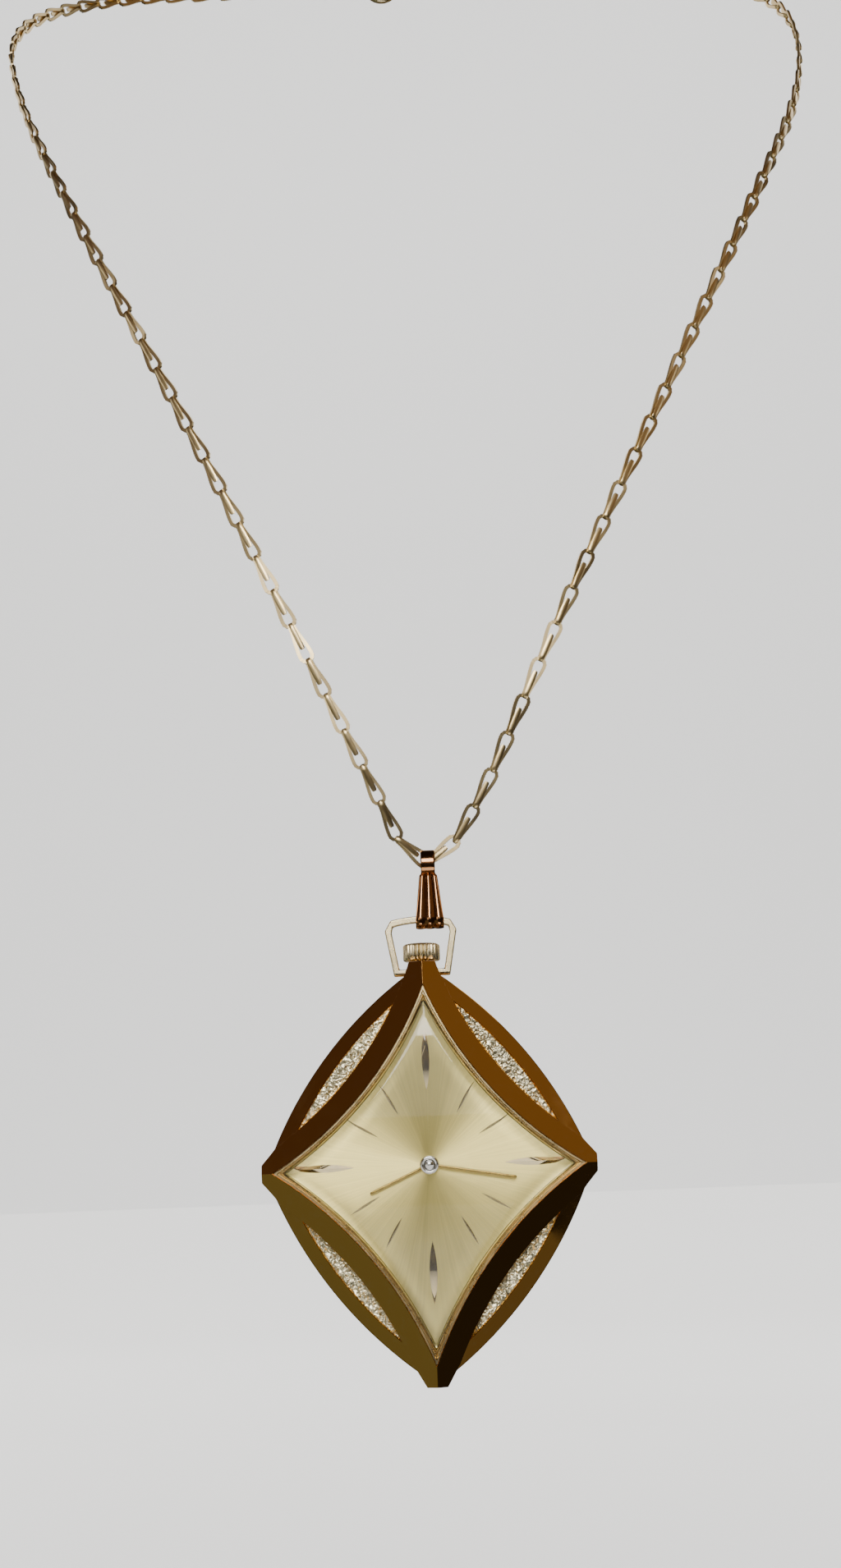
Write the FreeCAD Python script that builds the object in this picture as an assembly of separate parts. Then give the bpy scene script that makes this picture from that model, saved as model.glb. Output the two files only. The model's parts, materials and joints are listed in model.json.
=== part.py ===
import FreeCAD, Part
import math
import os

# A ladies' pendant watch on its neck chain, in millimetres.
# X is to the wearer's left hand, seen from the front, Y goes back and Z goes up.
# Every piece is drawn about the axis of the hands, with the dial facing -Y, and is
# then moved so that the origin is at the clasp, where the chain rests on the nape.
V = FreeCAD.Vector
BACK = V(0, 1, 0)
UP = V(0, 0, 1)
ACROSS = V(1, 0, 0)

# ---------------------------------------------------------------- driving sizes
# Opening of the front frame: a four-pointed star with hollow sides.
opening_half_width = 19.1
opening_top = 22.0
opening_bottom = -24.0
tip_height = -0.4              # the two side points lie just below the hands' axis
opening_hollow = 2.4           # how far each side of the opening bows inwards
frame_band = 2.5               # width of the polished facet round the opening
side_reach = 1.3               # from the opening's corner out to the flat of a side point
neck_reach = 2.8               # the same up to the top of the neck
foot_reach = 2.4               # and down to the flat of the bottom point
frame_half_width = opening_half_width + side_reach
neck_top = opening_top + neck_reach
frame_bottom = opening_bottom - foot_reach
side_flat = 2.1                # height of the flat on a side point
bottom_flat = 2.5              # width of the flat on the bottom point
point_bevel = 1.4              # the small bevels beside the flats: across, and along the side points
side_bevel = 1.2
lip_width = 0.8                # ring that holds the crystal, inside the facet

# Back layer of the case: a diamond with full sides.
band_side_reach = 0.2          # the back layer's corners, measured from the opening's
band_top_reach = 1.2
band_foot_reach = 0.8
band_corner_x = opening_half_width + band_side_reach
band_top = opening_top + band_top_reach
band_bottom = opening_bottom - band_foot_reach
band_corner_rise = 2.2
band_corner_half = 2.3
band_bulge = 1.9
rim_width = 1.7                # polished rim outside the textured panels
panel_sink = 0.3
panel_gap = 0.12               # plain line between a panel and the frame or the rim

# Depths, from front to back.
crystal_front = -2.2
frame_front = -1.6
frame_edge = -0.4
lip_front = -1.25
lip_back = 0.05
crystal_seat = 0.1
crystal_back = 0.45
dial_front = 0.65
band_front = 1.0
rim_edge = 2.6
rim_back = 4.4
plate_front = 1.95
plate_thick = 1.4
plate_back = plate_front + plate_thick
train_height = 1.4             # between the plate and the bridges
bridge_front = plate_back + train_height
bridge_thick = 0.8
bridge_back = bridge_front + bridge_thick
ratchet_lift = 0.05            # under the ratchet and crown wheels
ratchet_thick = 0.2
wheel_bottom = bridge_back + ratchet_lift
wheel_top = wheel_bottom + ratchet_thick
band_back = bridge_back + 0.35
back_thick = 0.9
back_outer = band_back + back_thick
back_inset = 1.7               # the back plate's edge, in from the band's
back_slope = 0.5
back_pocket = 0.4              # hollow inside the back, over the winding wheels
ring_back = bridge_back - 0.05
stem_y = 3.5

# The movement and how it is held.
movement_radius = 9.7
ring_wall = 1.4
spigot_in = 0.5                # the back's spigot and pocket, measured from the movement
pocket_in = 0.2
crystal_wall = 0.8             # thickness of the window
crystal_side = 0.2             # and of its skirt, which the minute hand passes
dome_radius = 200.0
fit_gap = 0.05                 # between parts that drop into each other
run_gap = 0.03                 # radial, round each arbor
past = 1.0                     # how far a cutting shape runs past the piece
through = 12.0                 # longer than anything drilled right through
mesh_gap = 0.03                # between the tip circles of two wheels in mesh
stem_radius = 0.45
tube_radius = 1.1
tube_bore = 0.55
tube_gap = 0.2                 # between the tube and the movement ring
neck_half = 1.75
neck_spread = 1.0              # the neck widens by this on each side, down its bevels
neck_back = 5.2
neck_height = 5.3
neck_root = neck_top - neck_height
tip_blend = 2.4                # how far a point's bevels run back along it

# Crown, bow and bail.
crown_radius = 2.3
crown_height = 2.2
crown_lift = 0.25              # the crown stands this far off the neck
crown_flutes = 28
bow_wire = 0.85
bow_clear = 0.075              # under the bow's rounded feet, above the case
bow_pivot_z = band_top + bow_clear + bow_wire / 2
bow_pin_radius = 0.35
bow_pin_depth = 0.45
bow_pin_root = 0.2             # how far each pin runs into its foot
bow_side_gap = 0.06
bow_crown_gap = 0.35           # between the crown and the bow's sides
bow_flare = 1.0
bow_foot_half = crown_radius + bow_crown_gap + bow_wire
bow_shoulder_half = bow_foot_half + bow_flare
bow_rise = 6.6                 # from the pivot to the top of the shoulders
bow_top_z = bow_pivot_z + bow_rise
bow_arch = 0.45
bow_shoulder_drop = 1.3
bow_shoulder_in = 0.75
bow_inner_drop = 0.25          # the inner corners, measured from the outer ones
bow_inner_out = 0.3
bow_shoulder_z = bow_top_z - bow_shoulder_drop
bail_x = 1.2                   # the bail sits a little to one side of the bow's middle
bail_sheet = 0.3
bail_gap = 0.3
eye_gap = 0.3                  # round the bow's bar, which is arched and square
bail_top_width = 1.75
bail_leaf_top = 2.3
bail_leaf_bottom = 3.5
chain_width = 2.1
chain_bottom_z = 37.4

# Bolt-ring clasp at the nape.
clasp_radius = 2.6
clasp_tube = 0.55
clasp_bore = 0.36
bolt_radius = 0.31
clasp_gap_half = 32.0          # degrees each side of the ring's opening
end_ring_radius = 1.5
end_ring_wire = 0.3

# ---------------------------------------------------------------- train
# Wheel centres as (x, z) about the hands' axis, each with its working radius.
centre = (0.0, 0.0)
third_at = (0.0, -3.6)
fourth_at = (-2.75, -4.95)
escape_at = (-5.1, -3.8)
pallet_at = (-6.2, -2.13)
balance_at = (-5.2, 1.5)
barrel_at = (4.05, 1.85)
crown_wheel_at = (0.0, 5.1)
minute_wheel_at = (-1.25, 2.6)
setting_wheel_at = (-0.1, 5.25)
click_at = (8.0, 3.6)
centre_radius = 3.2
centre_pinion = 0.55
third_radius = 2.66
escape_radius = 1.55
balance_radius = 3.4
barrel_radius = 3.85
ratchet_radius = 3.2
minute_wheel_radius = 1.9
setting_wheel_radius = 0.9
leaf = 0.16                    # tooth height of the train wheels
arbor = 0.22
pivot = 0.12

# ---------------------------------------------------------------- the neck chain
# Points from the clasp, down the wearer's right side, round the bail and up again.
nape = (0.0, 96.0, 201.5)
route = [
    (-4.6, 95.7, 201.2),
    (-25.0, 93.0, 199.4),
    (-46.5, 79.0, 192.5),
    (-58.5, 55.5, 177.0),
    (-54.3, 33.4, 155.5),
    (-43.6, 14.0, 129.5),
    (-29.3, 3.2, 99.0),
    (-17.0, -0.2, 72.5),
    (-9.5, 0.0, 56.0),
    (-4.9, 1.2, 46.3),
    (-2.9, 2.3, 41.5),
    (-1.75, 3.0, 39.1),
    (-0.3, stem_y, chain_bottom_z),
    (2.7, stem_y, chain_bottom_z),
    (4.25, 3.1, 39.1),
    (5.6, 2.4, 41.3),
    (9.0, 1.0, 46.6),
    (13.3, -0.6, 55.8),
    (21.2, -2.0, 71.9),
    (34.1, 0.9, 97.2),
    (48.4, 11.5, 126.5),
    (60.0, 31.5, 152.0),
    (62.5, 56.5, 177.0),
    (49.0, 80.0, 193.0),
    (25.5, 93.0, 199.4),
    (3.9, 95.7, 201.2),
]


# ---------------------------------------------------------------- helpers
def save(name, shape):
    """Write one piece, with the nape as the origin."""
    placed = shape.copy()
    placed.translate(V(-nape[0], -nape[1], -nape[2]))
    os.makedirs("parts", exist_ok=True)
    placed.exportStep("parts/" + name + ".step")


def disc(at, radius, y0, y1):
    return Part.makeCylinder(radius, y1 - y0, V(at[0], y0, at[1]), BACK)


def washer(at, outer, inner, y0, y1):
    return disc(at, outer, y0, y1).cut(disc(at, inner, y0 - past, y1 + past))


def rod(radius, z0, z1, x=0.0, y=stem_y):
    return Part.makeCylinder(radius, z1 - z0, V(x, y, z0), UP)


def slab(points, y0, y1):
    """A straight-sided plate whose outline is given as (x, z) points."""
    wire = Part.makePolygon([V(x, y0, z) for x, z in points + points[:1]])
    return Part.Face(wire).extrude(V(0, y1 - y0, 0))


def fuse(shapes):
    shapes = list(shapes)
    return shapes[0].multiFuse(shapes[1:]).removeSplitter() if len(shapes) > 1 else shapes[0]


def arc_centre(a, b, rise):
    """Centre and radius of the arc from a to b that rises to the left of the line a-b."""
    chord = math.hypot(b[0] - a[0], b[1] - a[1])
    radius = (chord * chord / 4 + rise * rise) / (2 * abs(rise))
    left = ((a[1] - b[1]) / chord, (b[0] - a[0]) / chord)
    away = math.copysign(1.0, rise) * (radius - abs(rise))
    middle = ((a[0] + b[0]) / 2, (a[1] + b[1]) / 2)
    return (middle[0] - left[0] * away, middle[1] - left[1] * away), radius


def swept_round(centre, profile):
    """Turn a profile of (radius, y) points all the way round a centre in the XZ plane."""
    wire = Part.makePolygon([V(centre[0] + r, y, centre[1]) for r, y in profile + profile[:1]])
    return Part.Face(wire).revolve(V(centre[0], 0, centre[1]), BACK, 360)


def quarter(sx, sz):
    """One quarter of space, split at the hands' axis and at the side points."""
    reach = 4 * opening_top
    z0 = tip_height if sz > 0 else -reach
    x0 = 0 if sx > 0 else -reach
    height = reach - tip_height if sz > 0 else reach + tip_height
    return Part.makeBox(reach, 2 * reach, height, V(x0, -reach, z0))


def toothed(at, radius, teeth, height, y0, y1):
    """A wheel with plain pointed teeth; radius is the tip circle."""
    points = []
    for i in range(2 * teeth):
        angle = math.pi * i / teeth
        r = radius if i % 2 == 0 else radius - height
        points.append((at[0] + r * math.cos(angle), at[1] + r * math.sin(angle)))
    return slab(points, y0, y1)


def turned(at, steps):
    """An arbor turned along Y: steps are (radius, y0, y1)."""
    return fuse(disc(at, r, y0, y1) for r, y0, y1 in steps)


def spoked(at, radius, teeth, height, y0, y1, rim, hub, spokes):
    """A crossed-out train wheel."""
    wheel = toothed(at, radius, teeth, height, y0, y1)
    window = washer(at, radius - rim, hub, y0 - past, y1 + past)
    for i in range(spokes):
        arm = Part.makeBox(radius, 4 * past, hub, V(0, y0 - 2 * past, -hub / 2))
        arm.rotate(V(0, 0, 0), BACK, 360.0 * i / spokes)
        arm.translate(V(at[0], 0, at[1]))
        window = window.cut(arm)
    return wheel.cut(window)


def distance(a, b):
    return math.hypot(a[0] - b[0], a[1] - b[1])


# ---------------------------------------------------------------- case outlines
def opening_arc(sx, sz):
    """Arc of one hollow side of the opening: its centre lies outside the case."""
    side = (sx * opening_half_width, tip_height)
    end = (0.0, opening_top if sz > 0 else opening_bottom)
    rise = opening_hollow if sx * sz > 0 else -opening_hollow
    return arc_centre(side, end, rise)


def band_arc(sx, sz):
    """Arc of one full side of the back layer: its centre lies across the case."""
    side = (sx * band_corner_x, tip_height + sz * band_corner_rise)
    end = (sx * band_corner_half, band_top if sz > 0 else band_bottom)
    rise = -band_bulge if sx * sz > 0 else band_bulge
    return arc_centre(side, end, rise)


def opening_prism(inset, y0, y1):
    """A plate with the shape of the opening, drawn in by inset on every side."""
    plate = None
    for sx in (1, -1):
        for sz in (1, -1):
            arc_middle, radius = opening_arc(sx, sz)
            corner = quarter(sx, sz).common(Part.makeBox(
                2 * opening_half_width, y1 - y0, opening_top - opening_bottom + 2 * past,
                V(-opening_half_width, y0, opening_bottom - past)))
            piece = corner.cut(disc(arc_middle, radius + inset, y0 - past, y1 + past))
            # Keep the part on the dial's side of the arc.
            side = (sx * opening_half_width, tip_height)
            end = (0.0, opening_top if sz > 0 else opening_bottom)
            wedge = slab([(0.0, tip_height), side, end], y0, y1)
            piece = piece.common(wedge)
            plate = piece if plate is None else plate.fuse(piece)
    return plate.removeSplitter()


def points_trim(y0, y1):
    """The outer limit of the front frame, with the flats and bevels of its four points."""
    half = side_flat / 2
    tip = frame_half_width
    low = tip_height - half
    high = tip_height + half
    foot = bottom_flat / 2
    right = [
        (neck_half, neck_top),
        (neck_half + neck_spread, neck_top - tip_blend),
        (tip - side_bevel, high + point_bevel),
        (tip, high),
        (tip, low),
        (tip - side_bevel, low - point_bevel),
        (foot + point_bevel, frame_bottom + tip_blend),
        (foot, frame_bottom),
    ]
    left = [(-x, z) for x, z in reversed(right)]
    return slab(right + left, y0, y1)


def make_front_frame():
    bars = []
    for sx in (1, -1):
        for sz in (1, -1):
            arc_middle, radius = opening_arc(sx, sz)
            edge = radius - frame_band
            profile = [
                (radius, frame_front),
                (edge, frame_edge),
                (edge, band_front),
                (radius, band_front),
            ]
            bars.append(swept_round(arc_middle, profile).common(quarter(sx, sz)))
    frame = fuse(bars)
    return frame.common(points_trim(frame_front - past, band_front + past))


def band_layer(inset, y0, y1, slope_front=0.0, slope_back=0.0):
    """Plate of the back layer's outline; its edge may slope at the front and the back."""
    plate = None
    for sx in (1, -1):
        for sz in (1, -1):
            arc_middle, radius = band_arc(sx, sz)
            outer = radius - inset
            profile = [
                (0.0, y0),
                (outer - slope_front, y0),
            ]
            if slope_front:
                profile.append((outer, y0 + slope_front * (rim_edge - band_front) / rim_width))
            if slope_back:
                profile.append((outer, y1 - slope_back))
            profile += [(outer - slope_back, y1), (0.0, y1)]
            body = swept_round(arc_middle, profile)
            x_end = sx * (band_corner_x - inset)
            z_end = (band_top - inset) if sz > 0 else (band_bottom + inset)
            limit = slab([(0.0, tip_height), (x_end, tip_height), (x_end, z_end), (0.0, z_end)],
                         y0, y1)
            piece = body.common(limit)
            plate = piece if plate is None else plate.fuse(piece)
    return plate.removeSplitter()


def panel_lens(sx, sz, y0, y1):
    """The lens between the frame's edge and the polished rim."""
    arc_middle, radius = opening_arc(sx, sz)
    rim_middle, rim_radius = band_arc(sx, sz)
    inside = disc(arc_middle, radius - frame_band - panel_gap, y0, y1)
    outside = disc(rim_middle, rim_radius - rim_width - panel_gap, y0, y1)
    return inside.common(outside).common(quarter(sx, sz))


def make_case_band():
    band = band_layer(0.0, band_front, band_back, rim_width, band_back - rim_back)
    neck = Part.makeBox(2 * neck_half, neck_back - band_front, neck_top - neck_root,
                        V(-neck_half, band_front, neck_root))
    band = band.fuse(neck)
    band = band.cut(disc(centre, movement_radius + ring_wall + fit_gap, 0, band_back + past))
    band = band.cut(rod(tube_radius, 0, neck_top + past))
    for sx in (1, -1):
        hole = Part.makeCylinder(bow_pin_radius + fit_gap, 2 * bow_pin_depth,
                                 V(sx * (neck_half - bow_pin_depth - fit_gap), stem_y, bow_pivot_z),
                                 V(sx, 0, 0))
        band = band.cut(hole)
        for sz in (1, -1):
            lens = panel_lens(sx, sz, band_front, band_front + panel_sink)
            band = band.cut(lens)
    return band.removeSplitter()


def make_crystal():
    flange = opening_prism(fit_gap, crystal_seat, crystal_back)
    block = opening_prism(lip_width + fit_gap, crystal_front - past, crystal_seat + fit_gap / 2)
    dome = Part.makeSphere(dome_radius, V(0, crystal_front + dome_radius, 0))
    window = block.common(dome)
    shell = flange.fuse(window)
    hollow = opening_prism(lip_width + fit_gap + crystal_side, crystal_front, crystal_back + past)
    inner = Part.makeSphere(dome_radius, V(0, crystal_front + crystal_wall + dome_radius, 0))
    return shell.cut(hollow.common(inner)).removeSplitter()


def make_crystal_ring():
    ring = opening_prism(fit_gap / 2, lip_front, lip_back)
    return ring.cut(opening_prism(lip_width, lip_front - past, lip_back + past))


def make_case_back():
    plate = band_layer(back_inset, band_back, back_outer, 0.0, back_slope)
    spigot = washer(centre, movement_radius + ring_wall - fit_gap,
                    movement_radius + spigot_in, ring_back + fit_gap, band_back)
    pocket = disc(centre, movement_radius - pocket_in, band_back - past, band_back + back_pocket)
    return plate.cut(pocket).fuse(spigot).removeSplitter()


def make_movement_ring():
    ring = washer(centre, movement_radius + ring_wall, movement_radius + fit_gap,
                  band_front + fit_gap, ring_back)
    return ring.cut(rod(tube_radius + fit_gap, 0, movement_radius + 2 * ring_wall))


# ---------------------------------------------------------------- dial and hands
large_inner = 9.1
large_outer = 16.7
large_width = 0.95
small_inner = 7.1
small_outer = 11.3
small_width = 0.3
marker_height = 0.12
hour_angle = 246.0             # degrees clockwise from twelve
minute_angle = 100.0
hour_length = 8.0
minute_length = 10.7
hand_width = 0.48
hand_sheet = 0.14
hour_hub = 0.3                 # width of metal round each hand's hole
minute_hub = 0.35


def marquise(inner, outer, width, clockwise):
    """A raised marker with two arc sides, along a radius."""
    left, radius = arc_centre((0, inner), (0, outer), width / 2)
    right = (-left[0], left[1])
    y0 = dial_front - marker_height
    shape = disc(left, radius, y0, dial_front).common(disc(right, radius, y0, dial_front))
    shape.rotate(V(0, 0, 0), BACK, clockwise)
    return shape


def make_large_markers():
    return Part.makeCompound([
        marquise(large_inner, large_outer, large_width, 90.0 * i) for i in range(4)])


def make_small_markers():
    hours = [h for h in range(12) if h % 3]
    return Part.makeCompound([
        marquise(small_inner, small_outer, small_width, 30.0 * h) for h in hours])


def hand(length, y0, hub, bore, clockwise):
    """A slim baton hand with a round end and a round hub."""
    blade = Part.makeBox(hand_width, hand_sheet, length - hand_width / 2, V(-hand_width / 2, y0, 0))
    end = disc((0, length - hand_width / 2), hand_width / 2, y0, y0 + hand_sheet)
    shape = fuse([blade, end, disc(centre, hub, y0, y0 + hand_sheet)])
    shape = shape.cut(disc(centre, bore, y0 - past, y0 + past))
    shape.rotate(V(0, 0, 0), BACK, clockwise)
    return shape


pipe_radius = 0.78             # hour wheel's pipe
pipe_bore = 0.6
dial_hole_gap = 0.12
cannon_radius = 0.55
cannon_bore = 0.3
hour_hand_y = 0.28
minute_hand_y = -0.08
cap_radius = 1.18
cap_centre = 0.6
motion_y = 1.1                 # hour wheel's level under the dial
motion_gap = 0.1
motion_sheet = 0.2


def make_dial():
    plate = opening_prism(fit_gap, dial_front, band_front)
    return plate.cut(disc(centre, pipe_radius + dial_hole_gap, 0, through))


feet_at = [(8.2, 3.2), (-8.2, -3.2)]
foot_radius = 0.4
foot_depth = 0.9               # how far the dial's feet go into the plate


def make_dial_feet():
    return Part.makeCompound([disc(at, foot_radius, band_front, plate_front + foot_depth) for at in feet_at])


# ---------------------------------------------------------------- movement
def level(lift, thick):
    """Front and back of a wheel that stands a little way off the plate."""
    return plate_back + lift, plate_back + lift + thick


fourth_radius = 2.36
third_pinion = distance(centre, third_at) - centre_radius - mesh_gap
fourth_pinion = distance(third_at, fourth_at) - third_radius - mesh_gap
escape_pinion = distance(fourth_at, escape_at) - fourth_radius - mesh_gap
cannon_leaf = distance(centre, minute_wheel_at) - minute_wheel_radius - mesh_gap
hour_radius = 2.35
minute_pinion = distance(centre, minute_wheel_at) - hour_radius - mesh_gap
crown_wheel_radius = distance(barrel_at, crown_wheel_at) - ratchet_radius - mesh_gap
centre_wheel_y = level(0.1, 0.15)
centre_pinion_y = level(0.25, 0.7)
third_wheel_y = level(1.0, 0.15)
third_pinion_y = level(0.06, 0.34)
fourth_wheel_y = level(0.6, 0.13)
fourth_pinion_y = level(0.9, 0.35)
escape_wheel_y = level(0.15, 0.15)
escape_pinion_y = level(0.5, 0.35)
pallet_y = level(0.15, 0.15)
balance_y = level(0.65, 0.35)
roller_y = level(0.35, 0.12)
hairspring_y = level(1.1, 0.12)
collet_y = level(1.07, 0.18)
barrel_front, barrel_back = level(0.5, 0.8)
jewel_radius = 0.5
plate_jewel = 0.35             # thickness of the stones in the plate, and in the bridges
bridge_jewel = 0.3
pivot_short = 0.02             # a pivot ends this far inside its bridge stone
pivot_depth = plate_jewel - fit_gap
end_shake = 0.05               # between an arbor's shoulder and the plate or bridge

# Screws that hold the two bridges and the balance cock, and the pillars under them.
barrel_bridge_screws = [(2.7, 8.3), (8.6, -0.5)]
train_bridge_screws = [(5.5, -6.5), (-6.2, -6.5)]
cock_screws = [(-5.6, 6.9)]
bridge_in = 0.15               # the bridges' edge, in from the plate's
pillar_radius = 0.65
screw_thread = 0.3
screw_head = 0.55
screw_head_height = 0.25


def bridge_outline(points, y0, y1):
    return slab(points, y0, y1).common(disc(centre, movement_radius - bridge_in, y0, y1))


def drilled(shape, places, radius):
    for at in places:
        shape = shape.cut(disc(at, radius, -through, through))
    return shape


def with_pillars(bridge, places):
    pillars = [disc(at, pillar_radius, plate_back, bridge_front) for at in places]
    bridge = fuse([bridge] + pillars)
    for at in places:
        bridge = bridge.cut(disc(at, screw_thread, plate_back - past, bridge_back + past))
        bridge = bridge.cut(disc(at, screw_head + fit_gap, bridge_back - screw_head_height,
                                 bridge_back + past))
    return bridge


# The window in the plate for the winding pinion and the clutch, and what runs in it.
window_half = 1.75
window_low = 3.45
window_high = 7.45
pinion_radius = 1.5
pinion_low = 6.0
pinion_high = 7.2
pinion_tooth = 0.18            # radius of its rounded teeth
pinion_teeth = 12
pinion_root = 1.25
clutch_radius = 0.75
clutch_low = 4.5
clutch_groove = 0.45           # from the clutch's end to its groove, the groove's width and depth
clutch_groove_width = 0.4
clutch_groove_depth = 0.2
skirt_front = stem_y + pinion_radius + fit_gap
skirt_width = 0.35
barrel_hole = 0.6
bridge_low = -0.95             # lower edge of the barrel bridge
screw_into_plate = 0.4
arbor_sink = 0.3               # floor under the barrel arbor's hole in the plate
slot_width = 0.14
slot_depth = 0.12


def make_mainplate():
    plate = disc(centre, movement_radius, plate_front, plate_back)
    plate = plate.cut(Part.makeBox(2 * window_half, through, window_high - window_low,
                                   V(-window_half, 0, window_low)))
    plate = plate.cut(rod(stem_radius + fit_gap, window_high - past, movement_radius + past))
    plate = drilled(plate, [centre], cannon_leaf + 2 * fit_gap)
    for at in (third_at, fourth_at, escape_at, pallet_at, balance_at):
        plate = plate.cut(disc(at, jewel_radius, plate_front - past, plate_back + past))
    plate = plate.cut(disc(barrel_at, barrel_hole + run_gap, plate_front + arbor_sink, plate_back + past))
    plate = plate.cut(disc(minute_wheel_at, pivot + run_gap, plate_front - past, plate_back + past))
    screws = barrel_bridge_screws + train_bridge_screws + cock_screws
    plate = drilled(plate, screws, screw_thread)
    return drilled(plate, feet_at, foot_radius)


def make_barrel_bridge():
    edge = movement_radius
    outline = [(-2.3, edge), (-2.3, 3.3), (-1.2, bridge_low), (edge, bridge_low), (edge, edge)]
    bridge = with_pillars(bridge_outline(outline, bridge_front, bridge_back), barrel_bridge_screws)
    bridge = drilled(bridge, [centre], jewel_radius)
    bridge = drilled(bridge, [barrel_at], barrel_hole + run_gap)
    # Room for the teeth under the crown wheel, and for the winding pinion.
    groove = washer(crown_wheel_at, crown_wheel_radius + fit_gap,
                    crown_wheel_radius - skirt_width - 2 * fit_gap, skirt_front - fit_gap,
                    bridge_back + past)
    notch = Part.makeBox(2 * window_half, 2 * past, pinion_high - pinion_low + 2 * fit_gap,
                         V(-window_half, bridge_front - past, pinion_low - fit_gap))
    return drilled(bridge.cut(groove).cut(notch), [crown_wheel_at, click_at], screw_thread)


def make_train_bridge():
    edge = movement_radius
    outline = [(edge, -1.15), (-1.4, -1.15), (-3.2, -2.5), (-5.2, -1.35), (-7.3, -1.35),
               (-edge, -3.0), (-edge, -edge), (edge, -edge)]
    bridge = with_pillars(bridge_outline(outline, bridge_front, bridge_back), train_bridge_screws)
    return drilled(bridge, [third_at, fourth_at, escape_at, pallet_at], jewel_radius)


def make_balance_cock():
    outline = [(-7.6, 8.5), (-7.0, 0.6), (-5.9, -0.1), (-4.5, -0.1), (-3.4, 0.6), (-3.0, 8.5)]
    cock = bridge_outline(outline, bridge_front, bridge_back)
    foot = bridge_outline([(-7.2, 5.6), (-3.2, 5.6), (-3.2, 8.5), (-7.2, 8.5)],
                          plate_back, bridge_front)
    cock = cock.fuse(foot)
    for at in cock_screws:
        cock = cock.cut(disc(at, screw_thread, plate_back - past, bridge_back + past))
        cock = cock.cut(disc(at, screw_head + fit_gap, bridge_back - screw_head_height,
                             bridge_back + past))
    return drilled(cock, [balance_at], jewel_radius)


def make_bridge_screws():
    screws = []
    for at in barrel_bridge_screws + train_bridge_screws + cock_screws:
        head_y = bridge_back - screw_head_height
        screw = disc(at, screw_thread, plate_front + screw_into_plate, head_y)
        head = disc(at, screw_head, head_y, bridge_back)
        slot = Part.makeBox(2 * past, slot_depth, slot_width,
                            V(at[0] - past, bridge_back - slot_depth, at[1] - slot_width / 2))
        screws.append(screw.fuse(head).cut(slot))
    return Part.makeCompound(screws)


def make_jewels():
    """Ruby bearings, in the plate and over each arbor in its bridge."""
    stones = []
    for at in (third_at, fourth_at, escape_at, pallet_at, balance_at):
        stones.append(washer(at, jewel_radius, pivot + run_gap, plate_back - plate_jewel, plate_back))
        stones.append(washer(at, jewel_radius, pivot + run_gap, bridge_front,
                             bridge_front + bridge_jewel))
    stones.append(washer(centre, jewel_radius, arbor + run_gap, bridge_front,
                         bridge_front + bridge_jewel))
    return Part.makeCompound(stones)


pivot_top = bridge_front + bridge_jewel - pivot_short


def staff(at):
    """A thin shaft with its ends in the stones of the plate and the bridge."""
    return disc(at, pivot, plate_back - pivot_depth, pivot_top)


def train_arbor(at, pinion, leaves, span):
    """Arbor with a pinion and a pivot at each end."""
    return fuse([
        staff(at),
        disc(at, arbor, plate_back + end_shake, bridge_front - end_shake),
        toothed(at, pinion, leaves, leaf, *span),
    ])


def make_centre_wheel():
    wheel = spoked(centre, centre_radius, 64, leaf, *centre_wheel_y, 0.45, 0.6, 4)
    shaft = turned(centre, [
        (cannon_bore, minute_hand_y, centre_wheel_y[0]),
        (arbor, centre_wheel_y[0], pivot_top),
    ])
    pinion = toothed(centre, centre_pinion, 10, leaf, *centre_pinion_y)
    return fuse([wheel, shaft, pinion])


def make_third_wheel():
    wheel = spoked(third_at, third_radius, 60, leaf, *third_wheel_y, 0.4, 0.5, 4)
    return fuse([wheel, train_arbor(third_at, third_pinion, 8, third_pinion_y)])


def make_fourth_wheel():
    wheel = spoked(fourth_at, fourth_radius, 70, leaf, *fourth_wheel_y, 0.35, 0.45, 4)
    return fuse([wheel, train_arbor(fourth_at, fourth_pinion, 8, fourth_pinion_y)])


def make_escape_wheel():
    wheel = spoked(escape_at, escape_radius, 15, 0.35, *escape_wheel_y, 0.6, 0.4, 4)
    return fuse([wheel, train_arbor(escape_at, escape_pinion, 7, escape_pinion_y)])


fork_wire = 0.3                # width of the lever and its crossbar
fork_span = 1.7
fork_horns = 0.6
fork_slot = 0.2
fork_short = 0.85              # from the fork's end to the balance's axis
fork_hub = 0.35


def make_pallet_fork():
    """The lever: a crossbar across the escape wheel and a fork towards the balance."""
    y0, y1 = pallet_y
    thick = y1 - y0
    to_balance = math.degrees(math.atan2(balance_at[0] - pallet_at[0],
                                         balance_at[1] - pallet_at[1]))
    fork_length = distance(pallet_at, balance_at) - fork_short
    lever = Part.makeBox(fork_wire, thick, fork_length, V(-fork_wire / 2, y0, 0))
    horns = Part.makeBox(fork_horns, thick, fork_wire, V(-fork_horns / 2, y0, fork_length - fork_wire))
    slot = Part.makeBox(fork_slot, 2 * past, fork_wire,
                        V(-fork_slot / 2, y0 - past, fork_length - fork_wire + fit_gap))
    bar = Part.makeBox(fork_span, thick, fork_wire, V(-fork_span / 2, y0, -fork_wire / 2))
    fork = fuse([lever, horns, bar, disc(centre, fork_hub, y0, y1)]).cut(slot)
    fork.rotate(V(0, 0, 0), BACK, to_balance)
    fork.translate(V(pallet_at[0], 0, pallet_at[1]))
    return fork.fuse(staff(pallet_at)).removeSplitter()


balance_rim = 0.45
balance_arm = 0.4
balance_arm_thick = 0.2
balance_hub = 0.3
roller_radius = 0.55


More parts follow.
